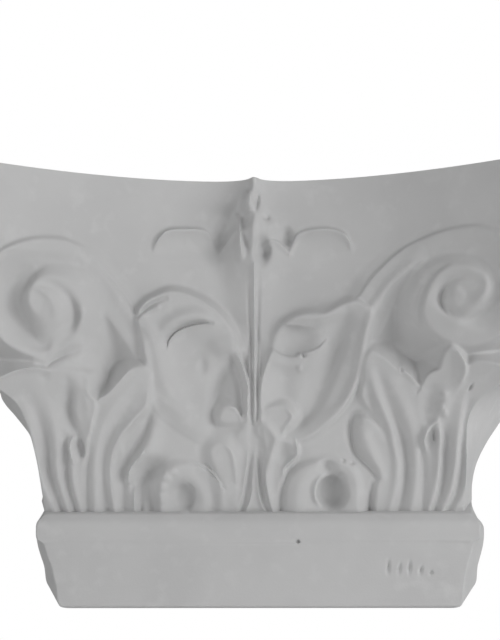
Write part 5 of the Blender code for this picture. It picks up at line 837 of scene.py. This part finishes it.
# Marks on the moulding, in millimetres right of its middle and above its underside
PINHOLE = (20.9, 33.2)
PINHOLE_HALF = 0.9
PINHOLE_DEPTH = 2.2
PINHOLE_STEEP = 3.0          # how hard the pinhole's edge is
STROKES_FROM = 64.5          # the row of strokes, from its left end
STROKE_STEP = 5.2
STROKE_FOOT = 16.8           # how high the strokes begin
STROKE_HALF = 0.85
STROKE_DEPTH = 1.3           # halfway up each stroke
STROKE_END_DEPTH = 0.2
# how far each stroke leans to the right, and how high it is
STROKES = ((0.5, 7.6), (1.2, 6.0), (0.4, 7.2), (1.0, 4.6), (0.6, 2.2))
# the bead's lower edge, plain only near the ends: places across and up, half width and height
BEAD_EDGES = ((RIGHT, [(60, 34.0, 0.9, 0.0), (80, 33.8, 1.0, 0.15), (96, 33.6, 1.2, 0.3),
                       (104, 33.4, 1.2, 0.4)]),
              (LEFT, [(104, 33.0, 1.2, 0.4), (98, 33.2, 1.1, 0.15), (90, 33.4, 1.0, 0.0)]))
BEAD_EDGE_CRISP = 0.7
# faint level drags left by the scraper: from, to, height, half width and how far they stand out
DRAGS = ((-70, -20, 36.0, 1.6, 0.10), (-62, -34, 31.0, 1.2, -0.08), (-20, 30, 38.5, 1.8, 0.08),
         (5, 60, 8.0, 2.5, -0.10), (40, 86, 35.0, 1.4, -0.10), (-96, -50, 18.0, 3.0, 0.12),
         (60, 96, 27.5, 1.6, 0.08))
DRAG_BOW = 0.6               # how far a drag bows up halfway

bpy.ops.object.select_all(action="DESELECT")
bpy.ops.mesh.primitive_grid_add(x_subdivisions=FINE_COLUMNS + 2 * SIDE_COLUMNS,
                                y_subdivisions=MOULDING_LEVELS + CARVED_LEVELS + 1, size=2.0)
cast = bpy.context.object
cast.name = "corbel_cast"
cast.data.name = "corbel_cast"

# every point of the sheet is told which column and level of the cast it is on
sheet = np.empty(len(cast.data.vertices) * 3)
cast.data.vertices.foreach_get("co", sheet)
sheet = sheet.reshape(-1, 3)
last_column = FINE_COLUMNS + 2 * SIDE_COLUMNS
last_level = MOULDING_LEVELS + CARVED_LEVELS + 1
column = np.rint((sheet[:, 0] + 1) / 2 * last_column).astype(int)
level = np.rint((sheet[:, 1] + 1) / 2 * last_level).astype(int)

# the levels: the moulding's smooth profile, then the carved face above it
profile = curve(MOULDING_ROWS, steps=8)
band_share = np.linspace(0, 1, MOULDING_LEVELS + 1)
band_z = band_share * MOULDING_HEIGHT
band_front = MOULDING_REACH - np.interp(band_share, profile[:, 0], profile[:, 1])
band_half = 0.5 * MOULDING_WIDTH - np.interp(band_share, profile[:, 0], profile[:, 2])
band_spread = MOULDING_SPREAD + np.interp(band_share, profile[:, 0], profile[:, 3])
carved_z = np.linspace(MOULDING_HEIGHT + LEVEL_GAP, HEIGHT, CARVED_LEVELS + 1)
level_z = np.concatenate([band_z, carved_z])

across = np.linspace(-1, 1, FINE_COLUMNS + 1)
carved_x, carved_front = carved_face(across, carved_z)
band_off = moulding_off(band_share)
band_x = band_off[:, None] + across * band_half[:, None]
x = np.vstack([band_x, carved_x])

# the moulding's own marks, in millimetres from its middle and its underside: a pinhole, a row of shallow
# strokes near the right end, the bead's lower edge where it still shows, and the scraper's faint drags
plain = np.repeat(band_front[:, None], FINE_COLUMNS + 1, axis=1)
high = np.repeat(band_z[:, None], FINE_COLUMNS + 1, axis=1)
band = Face(PER_METRE * band_x, PER_METRE * high, PER_METRE * plain)
band.spot(RIGHT, PINHOLE[0], PINHOLE[1], PINHOLE_HALF, PINHOLE_HALF, -PINHOLE_DEPTH, steep=PINHOLE_STEEP)
for k, (lean, rise) in enumerate(STROKES):
    foot = STROKES_FROM + k * STROKE_STEP
    band.rib(RIGHT, [(foot, STROKE_FOOT, STROKE_HALF, -STROKE_END_DEPTH),
                     (foot + 0.5 * lean, STROKE_FOOT + 0.5 * rise, STROKE_HALF, -STROKE_DEPTH),
                     (foot + lean, STROKE_FOOT + rise, STROKE_HALF, -STROKE_END_DEPTH)])
for side, path in BEAD_EDGES:
    band.rib(side, path, sharp=OUT, crisp=BEAD_EDGE_CRISP)
for x_from, x_to, z, half, height in DRAGS:
    band.rib(RIGHT, [(x_from, z, half, 0.0), (0.5 * (x_from + x_to), z + DRAG_BOW, half, height),
                     (x_to, z, half, 0.0)])
front = np.vstack([band.front / PER_METRE, carved_front])
from_arris = np.clip(np.minimum(x - x[:, :1], x[:, -1:] - x), 0, ARRIS_ROUND)
front -= ARRIS_ROUND - np.sqrt(ARRIS_ROUND**2 - (ARRIS_ROUND - from_arris)**2)

# the sides run back to the wall, wider there
back_share = np.arange(1, SIDE_COLUMNS + 1) / SIDE_COLUMNS
sides_x, sides_front = [], []
for side, column_at_arris in ((LEFT, 0), (RIGHT, FINE_COLUMNS)):
    band_wall = band_half + band_spread + side * band_off
    wall_x = side * np.concatenate([band_wall, wall_width(carved_z, WALL_OUTLINE[side])])
    arris_x, arris_front = x[:, column_at_arris], front[:, column_at_arris]
    sides_x.append(arris_x[:, None] + back_share * (wall_x - arris_x)[:, None])
    sides_front.append(arris_front[:, None] * (1 - back_share))
all_x = np.hstack([sides_x[0][:, ::-1], x, sides_x[1]])
all_front = np.hstack([sides_front[0][:, ::-1], front, sides_front[1]])

place = np.stack([all_x[level, column], -all_front[level, column], level_z[level] - 0.5 * HEIGHT], axis=1)
cast.data.vertices.foreach_set("co", place.ravel())
cast.data.update()

# the flat back, top and underside close the skin
bpy.ops.object.mode_set(mode="EDIT")
bpy.ops.mesh.select_mode(type="EDGE")


def close_between(chosen, operator):
    """Selects the edges whose two ends are both among the chosen points, and closes them."""
    bpy.ops.mesh.select_all(action="DESELECT")
    bpy.ops.object.mode_set(mode="OBJECT")
    ends = np.empty(len(cast.data.edges) * 2, int)
    cast.data.edges.foreach_get("vertices", ends)
    picked = chosen[ends.reshape(-1, 2)].all(axis=1)
    cast.data.edges.foreach_set("select", picked)
    bpy.ops.object.mode_set(mode="EDIT")
    operator()


close_between((column == 0) | (column == last_column), bpy.ops.mesh.bridge_edge_loops)
close_between(level == 0, bpy.ops.mesh.edge_face_add)
close_between(level == last_level, bpy.ops.mesh.edge_face_add)
bpy.ops.mesh.select_all(action="SELECT")
bpy.ops.mesh.quads_convert_to_tris()
bpy.ops.mesh.normals_make_consistent(inside=False)
bpy.ops.object.mode_set(mode="OBJECT")

thin = cast.modifiers.new("thin", "DECIMATE")
thin.ratio = CAST_TRIANGLES / len(cast.data.polygons)
bpy.ops.object.modifier_apply(modifier=thin.name)
cast.data.shade_smooth()
bpy.ops.object.shade_smooth_by_angle(angle=math.radians(SMOOTH_UNDER))

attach(cast, "root")
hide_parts("corbel")

# THE PLASTER
# Matt gypsum plaster, pale grey, left bare as it came from the mould. It is faintly mottled
# where the skin of the cast dried unevenly, with a fine grain.
PLASTER_GREY = (0.62, 0.62, 0.62, 1)
DAMP_GREY = (0.59, 0.59, 0.591, 1)
CHALKY_GREY = (0.65, 0.65, 0.65, 1)
DAMP_PATCH = 0.045           # metres
CHALKY_PATCH = 0.009
GRAIN = 0.0011
GRAIN_HEIGHT = 0.0002

plaster = bpy.data.materials.new("cast_plaster")
plaster.use_nodes = True
nodes = plaster.node_tree.nodes
links = plaster.node_tree.links
shader = nodes["Principled BSDF"]
shader.inputs["Roughness"].default_value = 0.85
shader.inputs["Specular IOR Level"].default_value = 0.25
place_on = nodes.new("ShaderNodeTexCoord")


def mottle(size, detail, low, high, name):
    """Soft cloudy values over the cast, in patches of the given size in metres, spread from low to high."""
    cloud = nodes.new("ShaderNodeTexNoise")
    cloud.name = name
    cloud.inputs["Scale"].default_value = 1 / size
    cloud.inputs["Detail"].default_value = detail
    links.new(place_on.outputs["Object"], cloud.inputs["Vector"])
    spread = nodes.new("ShaderNodeMapRange")
    spread.inputs["From Min"].default_value = low
    spread.inputs["From Max"].default_value = high
    links.new(cloud.outputs["Fac"], spread.inputs["Value"])
    return spread.outputs["Result"]


def tinted(base, colour, mask):
    """The base colour, turned towards another where the mask is high."""
    mix = nodes.new("ShaderNodeMix")
    mix.data_type = "RGBA"
    if isinstance(base, tuple):
        mix.inputs["A"].default_value = base
    else:
        links.new(base, mix.inputs["A"])
    mix.inputs["B"].default_value = colour
    links.new(mask, mix.inputs["Factor"])
    return mix.outputs["Result"]


body = tinted(PLASTER_GREY, DAMP_GREY, mottle(DAMP_PATCH, 3, 0.42, 0.62, "broad mottle"))
body = tinted(body, CHALKY_GREY, mottle(CHALKY_PATCH, 4, 0.55, 0.8, "fine mottle"))
links.new(body, shader.inputs["Base Color"])

grain = nodes.new("ShaderNodeBump")
grain.inputs["Distance"].default_value = GRAIN_HEIGHT
grain.inputs["Strength"].default_value = 0.12
links.new(mottle(GRAIN, 4, 0.3, 0.7, "grain"), grain.inputs["Height"])
links.new(grain.outputs["Normal"], shader.inputs["Normal"])
cast.data.materials.clear()
cast.data.materials.append(plaster)

# THE STUDIO
# A pale floor well below the corbel, and even light from all round. Four soft lamps stand on the
# camera's side, the strongest of the upper ones to the right and one low in front.
FLOOR_Z = -0.42
FLOOR_SIZE = 12.0
bpy.ops.object.select_all(action="DESELECT")
bpy.ops.mesh.primitive_plane_add(size=FLOOR_SIZE, location=(0, 0, 0))
floor = bpy.context.object
floor.name = "studio_floor"
for corner in floor.data.vertices:
    corner.co.z = FLOOR_Z
white = bpy.data.materials.new("studio_white")
white.use_nodes = True
white_nodes = white.node_tree.nodes
white_links = white.node_tree.links
white_nodes["Principled BSDF"].inputs["Base Color"].default_value = (0.9, 0.9, 0.9, 1)
white_nodes["Principled BSDF"].inputs["Roughness"].default_value = 0.9
glow = white_nodes.new("ShaderNodeEmission")
glow.inputs["Strength"].default_value = 1.0
seen = white_nodes.new("ShaderNodeLightPath")
blend = white_nodes.new("ShaderNodeMixShader")
white_links.new(seen.outputs["Is Camera Ray"], blend.inputs["Fac"])
white_links.new(white_nodes["Principled BSDF"].outputs["BSDF"], blend.inputs[1])
white_links.new(glow.outputs["Emission"], blend.inputs[2])
white_links.new(blend.outputs["Shader"], white_nodes["Material Output"].inputs["Surface"])
floor.data.materials.append(white)

ROUND_LIGHT = 0.2
world = bpy.data.worlds.new("studio_world")
bpy.context.scene.world = world
world.use_nodes = True
sky_nodes = world.node_tree.nodes
sky_links = world.node_tree.links
soft = sky_nodes["Background"]
soft.inputs["Color"].default_value = (1, 1, 1, 1)
soft.inputs["Strength"].default_value = ROUND_LIGHT
backdrop = sky_nodes.new("ShaderNodeBackground")
backdrop.inputs["Color"].default_value = (1, 1, 1, 1)
sky_seen = sky_nodes.new("ShaderNodeLightPath")
sky_mix = sky_nodes.new("ShaderNodeMixShader")
sky_links.new(sky_seen.outputs["Is Camera Ray"], sky_mix.inputs["Fac"])
sky_links.new(soft.outputs["Background"], sky_mix.inputs[1])
sky_links.new(backdrop.outputs["Background"], sky_mix.inputs[2])
sky_links.new(sky_mix.outputs["Shader"], sky_nodes["World Output"].inputs["Surface"])

# Each lamp: how far it is turned from the front towards the right and how far raised, in degrees,
# its size in metres, and its watts
LAMPS = {"key_lamp": (50, 12, 0.6, 7.0), "side_lamp": (76, 10, 0.8, 3.2), "left_lamp": (-55, 12, 0.8, 3.9),
         "low_lamp": (8, -24, 0.8, 9.5)}
LAMP_AWAY = 1.5
for name, (degrees_round, degrees_up, size, power) in LAMPS.items():
    turn, rise = math.radians(degrees_round), math.radians(degrees_up)
    light = bpy.data.lights.new(name, "AREA")
    light.size = size
    light.energy = power
    stand = bpy.data.objects.new(name, light)
    bpy.context.collection.objects.link(stand)
    level_away = LAMP_AWAY * math.cos(rise)
    stand.location = (level_away * math.sin(turn), -level_away * math.cos(turn), LAMP_AWAY * math.sin(rise))
    stand.rotation_euler = (math.pi / 2 - rise, 0, turn)
bpy.context.scene.view_settings.view_transform = "Standard"

# THE CAMERA
# It stands level with the corbel's middle, straight in front, and looks up a little.
CAMERA_AWAY = 0.480          # from the moulding's front
CAMERA_TURN = math.radians(0.8)
CAMERA_ROLL = math.radians(0.25)
CAMERA_ABOVE_UNDERSIDE = 0.102   # the corbel's underside
FOCAL_IN_PIXELS = 963.5
PICTURE_HEIGHT = 640.0       # pixels
HORIZON_BELOW_MIDDLE = 80.0  # pixels
AXIS_RIGHT_OF_MIDDLE = 4.5   # pixels
BAND_FRONT = 0.060           # wall to the moulding's front, which the distance is taken from
FILM_HEIGHT = 36.0           # millimetres

camera = bpy.data.objects.new("camera", bpy.data.cameras.new("camera"))
bpy.context.collection.objects.link(camera)
camera.data.sensor_fit = "VERTICAL"
camera.data.sensor_height = FILM_HEIGHT
camera.data.lens = FILM_HEIGHT * FOCAL_IN_PIXELS / PICTURE_HEIGHT
camera.location = (CAMERA_AWAY * math.sin(CAMERA_TURN), -BAND_FRONT - CAMERA_AWAY * math.cos(CAMERA_TURN),
                   CAMERA_ABOVE_UNDERSIDE - 0.5 * HEIGHT)
camera.rotation_euler = (math.pi / 2 + math.atan(HORIZON_BELOW_MIDDLE / FOCAL_IN_PIXELS), CAMERA_ROLL,
                         CAMERA_TURN + math.atan(AXIS_RIGHT_OF_MIDDLE / FOCAL_IN_PIXELS))
camera.data.clip_start = 0.01
bpy.context.scene.camera = camera
